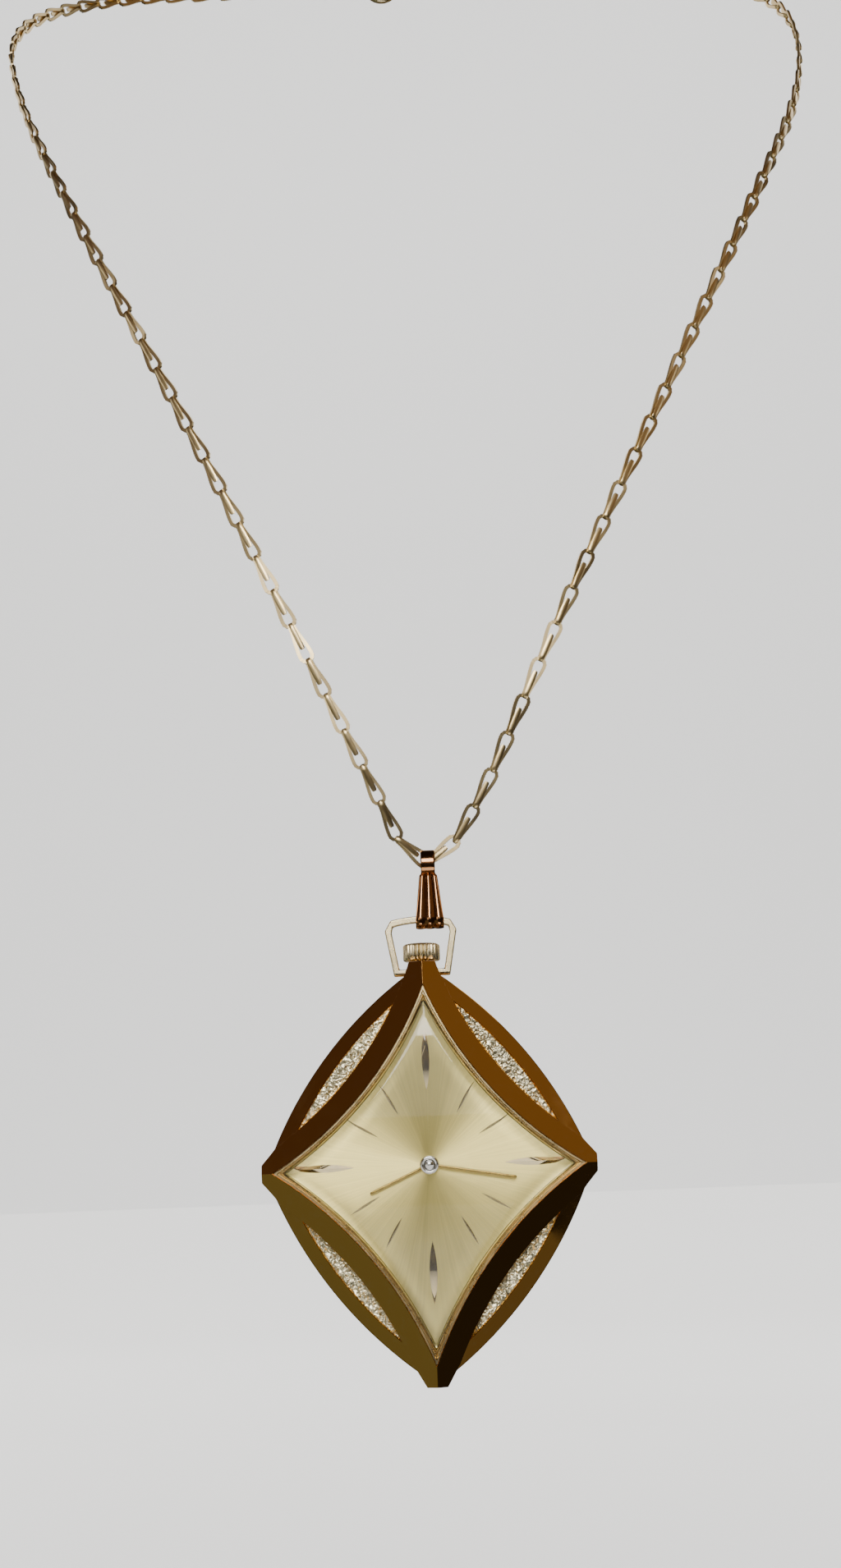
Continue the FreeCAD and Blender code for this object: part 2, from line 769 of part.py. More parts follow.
def make_balance_wheel():
    rim = washer(balance_at, balance_radius, balance_radius - balance_rim, *balance_y)
    reach = balance_radius - balance_rim / 2
    arm = Part.makeBox(2 * reach, balance_arm_thick, balance_arm,
                       V(balance_at[0] - reach, balance_y[0], balance_at[1] - balance_arm / 2))
    body = disc(balance_at, balance_hub, plate_back + end_shake, bridge_front - end_shake)
    roller = disc(balance_at, roller_radius, *roller_y)
    return fuse([rim, arm, staff(balance_at), body, roller])


coil_first = 0.55
coil_step = 0.22
coil_wire = 0.08
coil_turns = 6
collet_radius = 0.42


def make_hairspring():
    """A flat coil of plain turns, clamped on the balance staff."""
    y0, y1 = hairspring_y
    radii = [coil_first + coil_step * i for i in range(coil_turns)]
    turns = [washer(balance_at, r, r - coil_wire, y0, y1) for r in radii]
    tie = Part.makeBox(radii[-1] - balance_hub, y1 - y0, coil_wire,
                       V(balance_at[0] + balance_hub, y0, balance_at[1] - coil_wire / 2))
    collet = washer(balance_at, collet_radius, balance_hub, *collet_y)
    return fuse([collet, tie] + turns)


regulator_radius = 1.0
regulator_bore = 0.62
regulator_thick = 0.17
regulator_reach = 1.8
regulator_width = 0.3


def make_regulator():
    """The index lever on the balance cock."""
    y0 = bridge_back + run_gap
    ring = washer(balance_at, regulator_radius, regulator_bore, y0, y0 + regulator_thick)
    lever = Part.makeBox(regulator_width, regulator_thick, regulator_reach,
                         V(-regulator_width / 2, y0, regulator_radius - 2 * fit_gap))
    lever.translate(V(balance_at[0], 0, balance_at[1]))
    return ring.fuse(lever).removeSplitter()


# ---------------------------------------------------------------- barrel and winding
barrel_wall = 0.3
barrel_flange = 0.3            # thickness and reach of the toothed rim
barrel_floor = 0.2
barrel_lid = 0.15
drum_radius = barrel_radius - barrel_flange
arbor_hub = 1.0
spring_front = barrel_front + barrel_floor + fit_gap
spring_back = barrel_back - barrel_lid - fit_gap
spring_wire = 0.14
spring_step = 0.36
spring_turns = 6


def make_barrel():
    drum = toothed(barrel_at, barrel_radius, 75, leaf, barrel_front, barrel_front + barrel_flange)
    drum = drum.fuse(disc(barrel_at, drum_radius, barrel_front, barrel_back - barrel_lid))
    drum = drum.cut(disc(barrel_at, drum_radius - barrel_wall, barrel_front + barrel_floor,
                         barrel_back + past))
    return drilled(drum, [barrel_at], barrel_hole + run_gap).removeSplitter()


def make_barrel_cover():
    return washer(barrel_at, drum_radius, barrel_hole + run_gap, barrel_back - barrel_lid, barrel_back)


def make_barrel_arbor():
    return turned(barrel_at, [
        (barrel_hole, plate_front + arbor_sink + fit_gap, wheel_bottom),
        (arbor_hub, spring_front, spring_back),
    ])


def make_mainspring():
    outer = drum_radius - barrel_wall - pivot_short
    radii = [outer - spring_step * i for i in range(spring_turns)]
    turns = [washer(barrel_at, r, r - spring_wire, spring_front, spring_back) for r in radii]
    inner = arbor_hub + 2 * fit_gap
    tie = Part.makeBox(spring_wire, spring_back - spring_front, outer - inner - fit_gap,
                       V(barrel_at[0] - spring_wire / 2, spring_front, barrel_at[1] + inner))
    return fuse(turns + [tie])


tooth_rise = 0.22              # of the ratchet and crown wheels
ratchet_screw_radius = 0.25
ratchet_head = 0.8
winding_head_height = 0.25
crown_post = 0.5
crown_head = 0.9
crown_head_gap = 0.04



def make_ratchet_wheel():
    wheel = toothed(barrel_at, ratchet_radius, 40, tooth_rise, wheel_bottom, wheel_top)
    return drilled(wheel, [barrel_at], ratchet_screw_radius)


def make_ratchet_screw():
    return turned(barrel_at, [
        (ratchet_screw_radius, wheel_bottom, wheel_top),
        (ratchet_head, wheel_top, wheel_top + winding_head_height),
    ])


def make_crown_wheel():
    wheel = toothed(crown_wheel_at, crown_wheel_radius, 24, tooth_rise, wheel_bottom, wheel_top)
    skirt = washer(crown_wheel_at, crown_wheel_radius - tooth_rise,
                   crown_wheel_radius - skirt_width, skirt_front, wheel_bottom)
    wheel = wheel.fuse(skirt)
    return drilled(wheel, [crown_wheel_at], crown_post + run_gap).removeSplitter()


def make_crown_wheel_screw():
    return turned(crown_wheel_at, [
        (screw_thread, bridge_front, bridge_back),
        (crown_post, bridge_back, wheel_top + crown_head_gap),
        (crown_head, wheel_top + crown_head_gap, wheel_top + winding_head_height),
    ])


click_hub = 0.42
click_spring_wire = 0.16
click_spring_thick = 0.18
click_spring_in = 0.2          # in from the movement's edge


def make_click():
    """The pawl that holds the ratchet wheel, on its own pin."""
    y0, y1 = wheel_bottom, wheel_top - fit_gap
    nose = slab([(-0.2, 0.3), (-0.95, -0.22), (-0.85, -0.42), (0.3, -0.35), (0.35, 0.3)], y0, y1)
    nose.translate(V(click_at[0], 0, click_at[1]))
    pin = disc(click_at, screw_thread - run_gap, bridge_front + 2 * fit_gap, y1)
    return fuse([nose, pin, disc(click_at, click_hub, y0, y1)])


def make_click_spring():
    y0, y1 = bridge_back, bridge_back + click_spring_thick
    outer = movement_radius - click_spring_in
    arc = washer(centre, outer, outer - click_spring_wire, y0, y1)
    return arc.common(slab([(8.2, 4.9), (9.6, 4.9), (7.0, 7.6), (5.0, 7.6)], y0, y1))


def make_winding_pinion():
    pinion = rod(pinion_root, pinion_low, pinion_high)
    reach = pinion_radius - pinion_tooth
    teeth = [rod(pinion_tooth, pinion_low, pinion_high, reach * math.cos(a), stem_y + reach * math.sin(a))
             for a in (2 * math.pi * i / pinion_teeth for i in range(pinion_teeth))]
    return fuse([pinion] + teeth).cut(rod(stem_radius + run_gap, 0, through))


def make_sliding_pinion():
    clutch = rod(clutch_radius, clutch_low, pinion_low - fit_gap)
    groove_low = clutch_low + clutch_groove
    groove = rod(clutch_radius + past, groove_low, groove_low + clutch_groove_width)
    groove = groove.cut(rod(clutch_radius - clutch_groove_depth, 0, through))
    return clutch.cut(groove).cut(rod(stem_radius + run_gap, 0, through))


crown_foot = neck_top + crown_lift
stem_end = 3.7                 # the inner end of the stem, when pushed in
stem_groove = (8.0, 8.4)
stem_groove_depth = 0.15
crown_socket = 0.8             # metal left over the stem's end inside the crown
crown_step = 0.15              # low disc on top, set in from the flutes
crown_step_in = 0.5
flute_radius = 0.17


def make_stem():
    rod_shape = rod(stem_radius, stem_end, crown_foot + crown_height - crown_socket)
    groove = rod(stem_radius + past, *stem_groove).cut(rod(stem_radius - stem_groove_depth, 0, through))
    return rod_shape.cut(groove)


def make_crown():
    top = crown_foot + crown_height
    body = rod(crown_radius - 2 * fit_gap, crown_foot, top)
    body = body.fuse(rod(crown_radius - crown_step_in, top, top + crown_step))
    reach = crown_radius - flute_radius
    flutes = []
    for i in range(crown_flutes):
        a = 2 * math.pi * i / crown_flutes
        flutes.append(rod(flute_radius, crown_foot + crown_step, top - crown_step,
                          reach * math.cos(a), stem_y + reach * math.sin(a)))
    body = fuse([body] + flutes)
    return body.cut(rod(stem_radius, 0, top - crown_socket))


def make_pendant_tube():
    tube = rod(tube_radius, movement_radius + ring_wall + tube_gap, neck_top)
    return tube.cut(rod(tube_bore, 0, neck_top + past))


setting_lever_at = (1.95, 8.35)
yoke_at = (-2.6, 6.9)
lever_y = (plate_front - 0.3, plate_front - fit_gap)
spring_foot_at = (3.1, 7.7)
spring_foot_radius = 0.35


def make_setting_lever():
    """Turns as the stem is pulled; its tail sits over the stem's groove."""
    y0, y1 = lever_y
    x, z = setting_lever_at
    blade = slab([(x + 0.4, z + 0.3), (x - 0.3, z + 0.4), (x - 1.6, z + 0.1), (x - 1.6, z - 0.35),
                  (x - 0.3, z - 0.4), (x + 0.5, z - 1.5), (x + 0.9, z - 1.4)], y0, y1)
    return blade.fuse(disc(setting_lever_at, screw_thread - run_gap, y0, plate_front)).removeSplitter()


def make_yoke():
    """Moves the sliding pinion along the stem."""
    y0, y1 = lever_y
    x, z = yoke_at
    blade = slab([(x - 0.35, z + 0.3), (x + 0.35, z + 0.3), (x + 0.5, z - 1.2), (x + 1.9, z - 1.75),
                  (x + 1.9, z - 2.05), (x + 0.1, z - 1.6)], y0, y1)
    return blade.fuse(disc(yoke_at, screw_thread - run_gap, y0, plate_front)).removeSplitter()


def make_setting_spring():
    """Spring plate over the setting lever and the yoke."""
    y0 = band_front + fit_gap
    y1 = lever_y[0] - fit_gap
    plate = slab([(3.6, 8.4), (0.9, 9.2), (-3.6, 8.3), (-4.2, 6.4), (-3.4, 5.8), (-2.0, 7.9),
                  (1.6, 7.6), (3.4, 6.6)], y0, y1)
    foot = disc(spring_foot_at, spring_foot_radius, y1, plate_front)
    return plate.fuse(foot).removeSplitter()


setting_hub = 0.3
motion_level = motion_y + motion_sheet + motion_gap


def make_setting_wheel():
    return fuse([
        toothed(setting_wheel_at, setting_wheel_radius, 14, leaf, motion_level,
                motion_level + motion_sheet),
        disc(setting_wheel_at, setting_hub, motion_level - motion_gap, motion_level + setting_hub),
    ])


# ---------------------------------------------------------------- motion work
def make_hour_wheel():
    wheel = toothed(centre, hour_radius, 40, leaf, motion_y, motion_y + motion_sheet)
    pipe = disc(centre, pipe_radius, hour_hand_y, motion_y + motion_sheet)
    return drilled(wheel.fuse(pipe), [centre], pipe_bore).removeSplitter()


def make_cannon_pinion():
    pipe = disc(centre, cannon_radius, minute_hand_y, motion_level)
    leaves = toothed(centre, cannon_leaf, 12, leaf, motion_level, motion_level + motion_sheet)
    return drilled(pipe.fuse(leaves), [centre], cannon_bore).removeSplitter()


def make_minute_wheel():
    wheel = toothed(minute_wheel_at, minute_wheel_radius, 36, leaf, motion_level,
                    motion_level + motion_sheet)
    pinion = toothed(minute_wheel_at, minute_pinion, 10, leaf, motion_y, motion_level)
    shaft = disc(minute_wheel_at, pivot, motion_level, plate_back - foot_radius)
    return fuse([wheel, pinion, shaft])


cap_gap = 0.02                 # between the cap and the minute hand
cap_height = 0.32
button_height = 0.44



def make_hand_cap():
    foot = minute_hand_y - cap_gap
    collar = washer(centre, cap_radius, cap_centre, foot - cap_height, foot)
    button = disc(centre, cap_centre, foot - button_height, foot)
    return collar.fuse(button).removeSplitter()


# ---------------------------------------------------------------- bow and bail
def make_bow():
    """A stirrup of square wire: feet turned in to the neck, flared sides, arched top."""
    half = bow_wire / 2
    y0, y1 = stem_y - half, stem_y + half
    foot_low = bow_pivot_z - half
    inner = neck_half + bow_side_gap
    arch_mid = (0.0, bow_top_z + bow_arch)

    def half_outline(sx):
        return [
            (sx * inner, foot_low),
            (sx * bow_foot_half, foot_low),
            (sx * bow_shoulder_half, bow_shoulder_z),
        ]

    shoulder = (bow_shoulder_half - bow_shoulder_in, bow_top_z)
    edges = []
    right = [V(x, y0, z) for x, z in half_outline(1)]
    left = [V(x, y0, z) for x, z in half_outline(-1)]
    top_r = V(shoulder[0], y0, shoulder[1])
    top_l = V(-shoulder[0], y0, shoulder[1])
    edges.append(Part.makePolygon([right[0], right[1], right[2], top_r]))
    edges.append(Part.Arc(top_r, V(arch_mid[0], y0, arch_mid[1]), top_l).toShape())
    edges.append(Part.makePolygon([top_l, left[2], left[1], left[0]]))
    # Inner outline back to the start.
    rise = foot_low + bow_wire
    slope = (bow_shoulder_half - bow_foot_half) / (bow_shoulder_z - foot_low)
    in_foot = bow_foot_half - bow_wire + slope * bow_wire
    in_shoulder_z = bow_shoulder_z - bow_inner_drop
    in_shoulder = bow_shoulder_half - bow_wire - slope * bow_inner_drop
    in_top = bow_top_z - bow_wire
    points = [left[0], V(-inner, y0, rise), V(-in_foot, y0, rise), V(-in_shoulder, y0, in_shoulder_z),
              V(-shoulder[0] + bow_inner_out, y0, in_top)]
    edges.append(Part.makePolygon(points))
    edges.append(Part.Arc(points[-1], V(0, y0, in_top + bow_arch),
                          V(shoulder[0] - bow_inner_out, y0, in_top)).toShape())
    points = [V(shoulder[0] - bow_inner_out, y0, in_top), V(in_shoulder, y0, in_shoulder_z),
              V(in_foot, y0, rise), V(inner, y0, rise), right[0]]
    edges.append(Part.makePolygon(points))
    flat = []
    for part in edges:
        flat += part.Edges
    wire = Part.Wire(Part.__sortEdges__(flat))
    bow = Part.Face(wire).extrude(V(0, y1 - y0, 0))
    pins = []
    for sx in (1, -1):
        pins.append(Part.makeCylinder(bow_pin_radius, bow_pin_depth + bow_side_gap + bow_pin_root,
                                      V(sx * (neck_half - bow_pin_depth + fit_gap), stem_y, bow_pivot_z),
                                      V(sx, 0, 0)))
    # The feet are rounded underneath, so that they clear the case as it swings.
    under = Part.makeBox(2 * bow_foot_half, bow_wire, half, V(-bow_foot_half, y0, foot_low))
    under = under.cut(Part.makeCylinder(half, 2 * bow_foot_half,
                                        V(-bow_foot_half, stem_y, bow_pivot_z), ACROSS))
    return fuse([bow] + pins).cut(under)


bar_z = bow_top_z + bow_arch - bow_wire / 2
loop_inner = chain_width / 2 + bail_gap
eye_inner = bow_wire / 2 * math.sqrt(2) + eye_gap
loop_z = chain_bottom_z
leaf_drop = 0.9                # the leaves start this far under the loop's middle
leaf_bite = 0.02               # and run this far into the loop and the eye


def tube_across(radius, wall, width, y, z):
    """A short tube lying along X at the bail's place."""
    outer = Part.makeCylinder(radius + wall, width, V(bail_x - width / 2, y, z), ACROSS)
    bore = Part.makeCylinder(radius, width + 2 * past, V(bail_x - width / 2 - past, y, z), ACROSS)
    return outer.cut(bore)


def make_bail():
    """A folded strip: a plain loop over the chain, a ribbed leaf in front and a thin one behind."""
    loop = tube_across(loop_inner, bail_sheet, bail_top_width, stem_y, loop_z)
    eye = tube_across(eye_inner, bail_sheet, bail_leaf_bottom, stem_y, bar_z)
    leaf_top = loop_z - leaf_drop
    leaf_low = bar_z + eye_inner / 2
    leaves = []
    for side in (-1, 1):
        top_y = stem_y + side * (loop_inner + bail_sheet / 2 - leaf_bite)
        low_y = stem_y + side * (eye_inner + bail_sheet / 2 - leaf_bite)
        leaf_sides = []
        for z, y, width in ((leaf_low, low_y, bail_leaf_bottom), (leaf_top, top_y, bail_leaf_top)):
            w = width / 2
            t = bail_sheet / 2
            leaf_sides.append(Part.makePolygon([
                V(bail_x - w, y - t, z), V(bail_x + w, y - t, z), V(bail_x + w, y + t, z),
                V(bail_x - w, y + t, z), V(bail_x - w, y - t, z)]))
        leaves.append(Part.makeLoft(leaf_sides, True, True))
    start = bail_x - through / 2
    hollow_loop = Part.makeCylinder(loop_inner, through, V(start, stem_y, loop_z), ACROSS)
    hollow_eye = Part.makeCylinder(eye_inner, through, V(start, stem_y, bar_z), ACROSS)
    joined = fuse([loop, eye] + leaves)
    return joined.cut(hollow_loop).cut(hollow_eye)


# ---------------------------------------------------------------- chain and clasp
bend_share = 0.45              # part of the shorter run that a bend takes up


def bend_radius(a, b, c):
    """Radius of the arc at b, from the shorter run and the turn."""
    u, w = b - a, c - b
    turn = u.getAngle(w)
    return bend_share * min(u.Length, w.Length) / math.tan(turn / 2), turn


def route_wire(points):
    points = [V(*p) for p in points]
    edges = []
    radii = []
    start = points[0]
    for a, b, c in zip(points, points[1:], points[2:]):
        radius, turn = bend_radius(a, b, c)
        back = radius * math.tan(turn / 2)
        u, w = (b - a).normalize(), (c - b).normalize()
        p0, p1 = b - u * back, b + w * back
        middle_way = (w - u).normalize()
        mid = b + middle_way * (radius / math.cos(turn / 2) - radius)
        edges.append(Part.LineSegment(start, p0).toShape())
        edges.append(Part.Arc(p0, mid, p1).toShape())
        radii.append(round(radius, 1))
        start = p1
    edges.append(Part.LineSegment(start, points[-1]).toShape())
    return Part.Wire(edges), radii


def make_chain():
    path, radii = route_wire(route)
    first = V(*route[1]) - V(*route[0])
    section = Part.Wire(Part.makeCircle(chain_width / 2, V(*route[0]), first))
    tube = path.makePipeShell([section], True, False)
    expected = math.pi * chain_width ** 2 / 4 * path.Length
    print("chain bend radii", radii)
    print("chain length %.1f, volume %.1f of %.1f" % (path.Length, tube.Volume, expected))
    return tube


# The clasp ring stands across the chain, with its centre where the chain would close.
clasp_lap = 0.45               # the first link's end reaches this far into the ring
clasp_at = V(route[0][0] + clasp_radius + clasp_tube + chain_width / 2 - clasp_lap, nape[1], nape[2])


def torus_part(major, minor, start, sweep, at=clasp_at):
    """Part of a ring in the XZ plane, angles clockwise from +X as seen from behind."""
    section = Part.Wire(Part.makeCircle(minor, at + V(major, 0, 0), UP))
    solid = Part.Face(section).revolve(at, BACK, sweep)
    solid.rotate(at, BACK, start)
    return solid


# Angles round the clasp, in degrees.
tab_sweep = 62.0               # travel of the bolt's tab along its slot
tab_lead = 6.0
tab_radius = 0.14
tab_height = 0.55
tab_root = 0.2
slot_centre = 0.4              # the slot's middle, out from the tube's, and its half width
slot_half = 0.3
slot_spare = 14.0
bore_end = 60.0                # solid part of the ring, at the end of its bore
bolt_lap = 4.0
coil_pitch = 14.0
coil_width = 8.0
coil_count = 6
coil_core = 0.6                # thread that joins the coils, as a part of their radius


def make_clasp_ring():
    outer = torus_part(clasp_radius, clasp_tube, clasp_gap_half, 360 - 2 * clasp_gap_half)
    bore = torus_part(clasp_radius, clasp_bore, clasp_gap_half - past,
                      360 - 2 * clasp_gap_half - bore_end)
    slot = torus_part(clasp_radius + slot_centre, slot_half, clasp_gap_half - past,
                      tab_sweep + slot_spare)
    return outer.cut(bore).cut(slot)


def make_clasp_bolt():
    bolt = torus_part(clasp_radius, bolt_radius, bolt_lap - clasp_gap_half,
                      2 * clasp_gap_half + tab_lead)
    tab = Part.makeCylinder(tab_radius, tab_height, clasp_at + V(clasp_radius + tab_root, 0, 0), ACROSS)
    tab.rotate(clasp_at, BACK, clasp_gap_half + tab_lead)
    return bolt.fuse(tab)


def make_clasp_spring():
    start = clasp_gap_half + tab_lead + tab_sweep + coil_width
    turns = [torus_part(clasp_radius, bolt_radius, start + coil_pitch * i, coil_width)
             for i in range(coil_count)]
    thread = torus_part(clasp_radius, bolt_radius * coil_core, start + coil_width / 4,
                        coil_pitch * (coil_count - 1) + coil_width / 2)
    return fuse([thread] + turns)


def make_end_ring():
    """Small ring on the chain's other end, caught by the clasp ring."""
    at = V(route[-1][0] - end_ring_radius - end_ring_wire, nape[1], nape[2])
    return Part.makeTorus(end_ring_radius, end_ring_wire, at, UP)


# ---------------------------------------------------------------- write every piece
save("front_frame", make_front_frame())
save("case_band", make_case_band())
save("crystal", make_crystal())
save("crystal_ring", make_crystal_ring())
save("case_back", make_case_back())
save("movement_ring", make_movement_ring())
save("pendant_tube", make_pendant_tube())
save("dial", make_dial())
save("dial_feet", make_dial_feet())
save("large_markers", make_large_markers())
save("small_markers", make_small_markers())
save("hour_hand", hand(hour_length, hour_hand_y, pipe_radius + hour_hub, pipe_radius, hour_angle))
save("minute_hand", hand(minute_length, minute_hand_y, cannon_radius + minute_hub, cannon_radius,
                         minute_angle))
save("hand_cap", make_hand_cap())
save("hour_wheel", make_hour_wheel())
save("cannon_pinion", make_cannon_pinion())
save("minute_wheel", make_minute_wheel())
save("setting_wheel", make_setting_wheel())
save("mainplate", make_mainplate())
save("barrel_bridge", make_barrel_bridge())
save("train_bridge", make_train_bridge())
save("balance_cock", make_balance_cock())
save("bridge_screws", make_bridge_screws())
save("jewels", make_jewels())
save("centre_wheel", make_centre_wheel())
save("third_wheel", make_third_wheel())
save("fourth_wheel", make_fourth_wheel())
save("escape_wheel", make_escape_wheel())
save("pallet_fork", make_pallet_fork())
save("balance_wheel", make_balance_wheel())
save("hairspring", make_hairspring())
save("regulator", make_regulator())
save("barrel", make_barrel())
save("barrel_cover", make_barrel_cover())
save("barrel_arbor", make_barrel_arbor())
save("mainspring", make_mainspring())
save("ratchet_wheel", make_ratchet_wheel())
save("ratchet_screw", make_ratchet_screw())
save("crown_wheel", make_crown_wheel())
save("crown_wheel_screw", make_crown_wheel_screw())
save("click", make_click())
save("click_spring", make_click_spring())
save("winding_pinion", make_winding_pinion())
save("sliding_pinion", make_sliding_pinion())
save("stem", make_stem())
save("crown", make_crown())
save("setting_lever", make_setting_lever())
save("yoke", make_yoke())
save("setting_spring", make_setting_spring())
save("bow", make_bow())
save("bail", make_bail())
save("chain", make_chain())
save("clasp_ring", make_clasp_ring())
save("clasp_bolt", make_clasp_bolt())
save("clasp_spring", make_clasp_spring())
save("end_ring", make_end_ring())
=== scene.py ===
import json
import math

import bmesh
import bpy
from bpy.props import FloatProperty, FloatVectorProperty, IntProperty, PointerProperty
from mathutils import Matrix, Vector, noise


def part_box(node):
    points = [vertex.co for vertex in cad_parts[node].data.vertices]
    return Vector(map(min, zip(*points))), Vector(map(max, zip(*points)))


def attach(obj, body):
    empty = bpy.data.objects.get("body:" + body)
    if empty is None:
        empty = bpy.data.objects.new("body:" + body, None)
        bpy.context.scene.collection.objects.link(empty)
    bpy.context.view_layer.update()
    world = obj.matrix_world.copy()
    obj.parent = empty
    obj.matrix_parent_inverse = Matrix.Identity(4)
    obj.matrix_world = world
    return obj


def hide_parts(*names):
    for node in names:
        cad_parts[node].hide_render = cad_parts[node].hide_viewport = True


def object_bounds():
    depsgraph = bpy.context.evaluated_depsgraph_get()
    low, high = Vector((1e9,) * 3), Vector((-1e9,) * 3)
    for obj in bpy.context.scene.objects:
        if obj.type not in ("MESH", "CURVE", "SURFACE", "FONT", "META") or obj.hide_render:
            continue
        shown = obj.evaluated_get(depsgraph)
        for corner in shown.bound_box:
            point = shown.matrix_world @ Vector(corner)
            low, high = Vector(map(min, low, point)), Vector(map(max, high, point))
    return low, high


bl_info = {
    "name": "Pendant watch on a neck chain",
    "version": (1, 0, 0),
    "blender": (4, 5, 0),
    "location": "View3D > Sidebar > Pendant watch",
    "description": "Finishes the case, dial, hands, bow, bail and link chain of a ladies' pendant watch",
    "category": "Object",
}

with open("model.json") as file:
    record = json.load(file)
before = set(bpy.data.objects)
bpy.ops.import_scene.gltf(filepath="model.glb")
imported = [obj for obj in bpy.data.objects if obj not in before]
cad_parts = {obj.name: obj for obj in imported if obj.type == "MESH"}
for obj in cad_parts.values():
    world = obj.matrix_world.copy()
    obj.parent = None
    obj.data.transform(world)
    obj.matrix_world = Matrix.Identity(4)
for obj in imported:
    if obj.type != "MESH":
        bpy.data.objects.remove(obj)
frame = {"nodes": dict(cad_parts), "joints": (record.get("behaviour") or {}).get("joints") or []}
CAD_BOX = [list(corner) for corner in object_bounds()]

MM = 0.001
JOINTS = {j["name"]: j for j in frame["joints"]}
HANDS_AXIS = Vector(JOINTS["minute_turn"]["pos_m"])
STEM_AXIS = Vector(JOINTS["crown_turn"]["pos_m"])
DIAL_FACE = 0.65 * MM
# Every watch piece is drawn about this point, on the hands' axis; the dial faces -Y.
ORIGIN = Vector((HANDS_AXIS.x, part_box("dial")[0].y - DIAL_FACE, HANDS_AXIS.z))
STEM_DEPTH = STEM_AXIS.y - ORIGIN.y


def local_box(node):
    """A CAD piece's lowest and highest corners, measured from ORIGIN."""
    low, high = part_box(node)
    return low - ORIGIN, high - ORIGIN


def joint_place(name):
    """A joint's place across and up, measured from ORIGIN."""
    x, _, z = JOINTS[name]["pos_m"]
    return x - ORIGIN.x, z - ORIGIN.z


# ------------------------------------------------------------------ settings
def length(name, description, millimetres):
    return FloatProperty(name=name, description=description, default=millimetres * MM,
                         unit="LENGTH", precision=5)


def colour(name, description, red, green, blue):
    return FloatVectorProperty(name=name, description=description, default=(red, green, blue),
                               size=3, subtype="COLOR", min=0.0, max=1.0)


class CaseSizes(bpy.types.PropertyGroup):
    """Sizes of the case, measured from the hands' axis."""
    opening_half_width: length("Opening half width", "Hands' axis to a side corner of the opening", 19.1)
    opening_top: length("Opening top", "Hands' axis to the opening's top corner", 22.0)
    opening_bottom: length("Opening bottom", "Hands' axis to the opening's bottom corner", -24.0)
    tip_height: length("Tip height", "Height of the side corners above the hands' axis", -0.4)
    opening_hollow: length("Opening hollow", "How far each side of the opening bows inwards", 2.4)
    facet_width: length("Facet width", "Width of the polished facet round the opening", 2.5)
    facet_front: length("Facet front", "Depth of the facet's inner edge", -1.6)
    facet_edge: length("Facet edge", "Depth of the facet's outer edge", -0.4)
    lip_width: length("Lip width", "Width of the ring that holds the crystal", 0.8)
    side_flat: length("Side flat", "Height of the flat on a side point", 2.1)
    bottom_flat: length("Bottom flat", "Width of the flat on the bottom point", 2.5)
    neck_half: length("Neck half width", "Half the width of the neck under the crown", 1.75)
    band_bulge: length("Band bulge", "How far each side of the back layer bows outwards", 1.9)
    rim_width: length("Rim width", "Width of the polished rim outside the panels", 1.7)
    panel_relief: length("Panel relief", "Height of the crinkled texture in the panels", 0.24)
    panel_grain: length("Panel grain", "Size of one crinkle in the panels", 0.62)
    crystal_front: length("Crystal front", "Depth of the top of the crystal's dome", -2.2)
    dome_radius: length("Dome radius", "Radius of the crystal's dome", 200.0)


class DialSizes(bpy.types.PropertyGroup):
    """Sizes of the markers and hands."""
    large_inner: length("Large marker start", "Radius where the large markers start", 9.1)
    large_outer: length("Large marker end", "Radius where the large markers end", 16.7)
    large_width: length("Large marker width", "Width at the middle", 0.95)
    small_inner: length("Small marker start", "Radius where the small markers start", 7.1)
    small_outer: length("Small marker end", "Radius where the small markers end", 11.3)
    small_width: length("Small marker width", "Width at the middle", 0.3)
    hand_width: length("Hand width", "Width of both hands", 0.44)
    marker_slope: FloatProperty(name="Marker slope", description="Tilt of a marker's two faces",
                                default=math.radians(29), subtype="ANGLE")


class ChainSizes(bpy.types.PropertyGroup):
    """Sizes of the neck chain."""
    pitch: length("Link pitch", "Distance from one joint to the next", 4.95)
    width: length("Link width", "Width at a link's round end", 2.1)
    twist: FloatProperty(name="Link twist", description="How far links turn about the chain at random",
                         default=math.radians(7), subtype="ANGLE")
    seed: IntProperty(name="Twist seed", description="Fixes the random turn of the links", default=4)


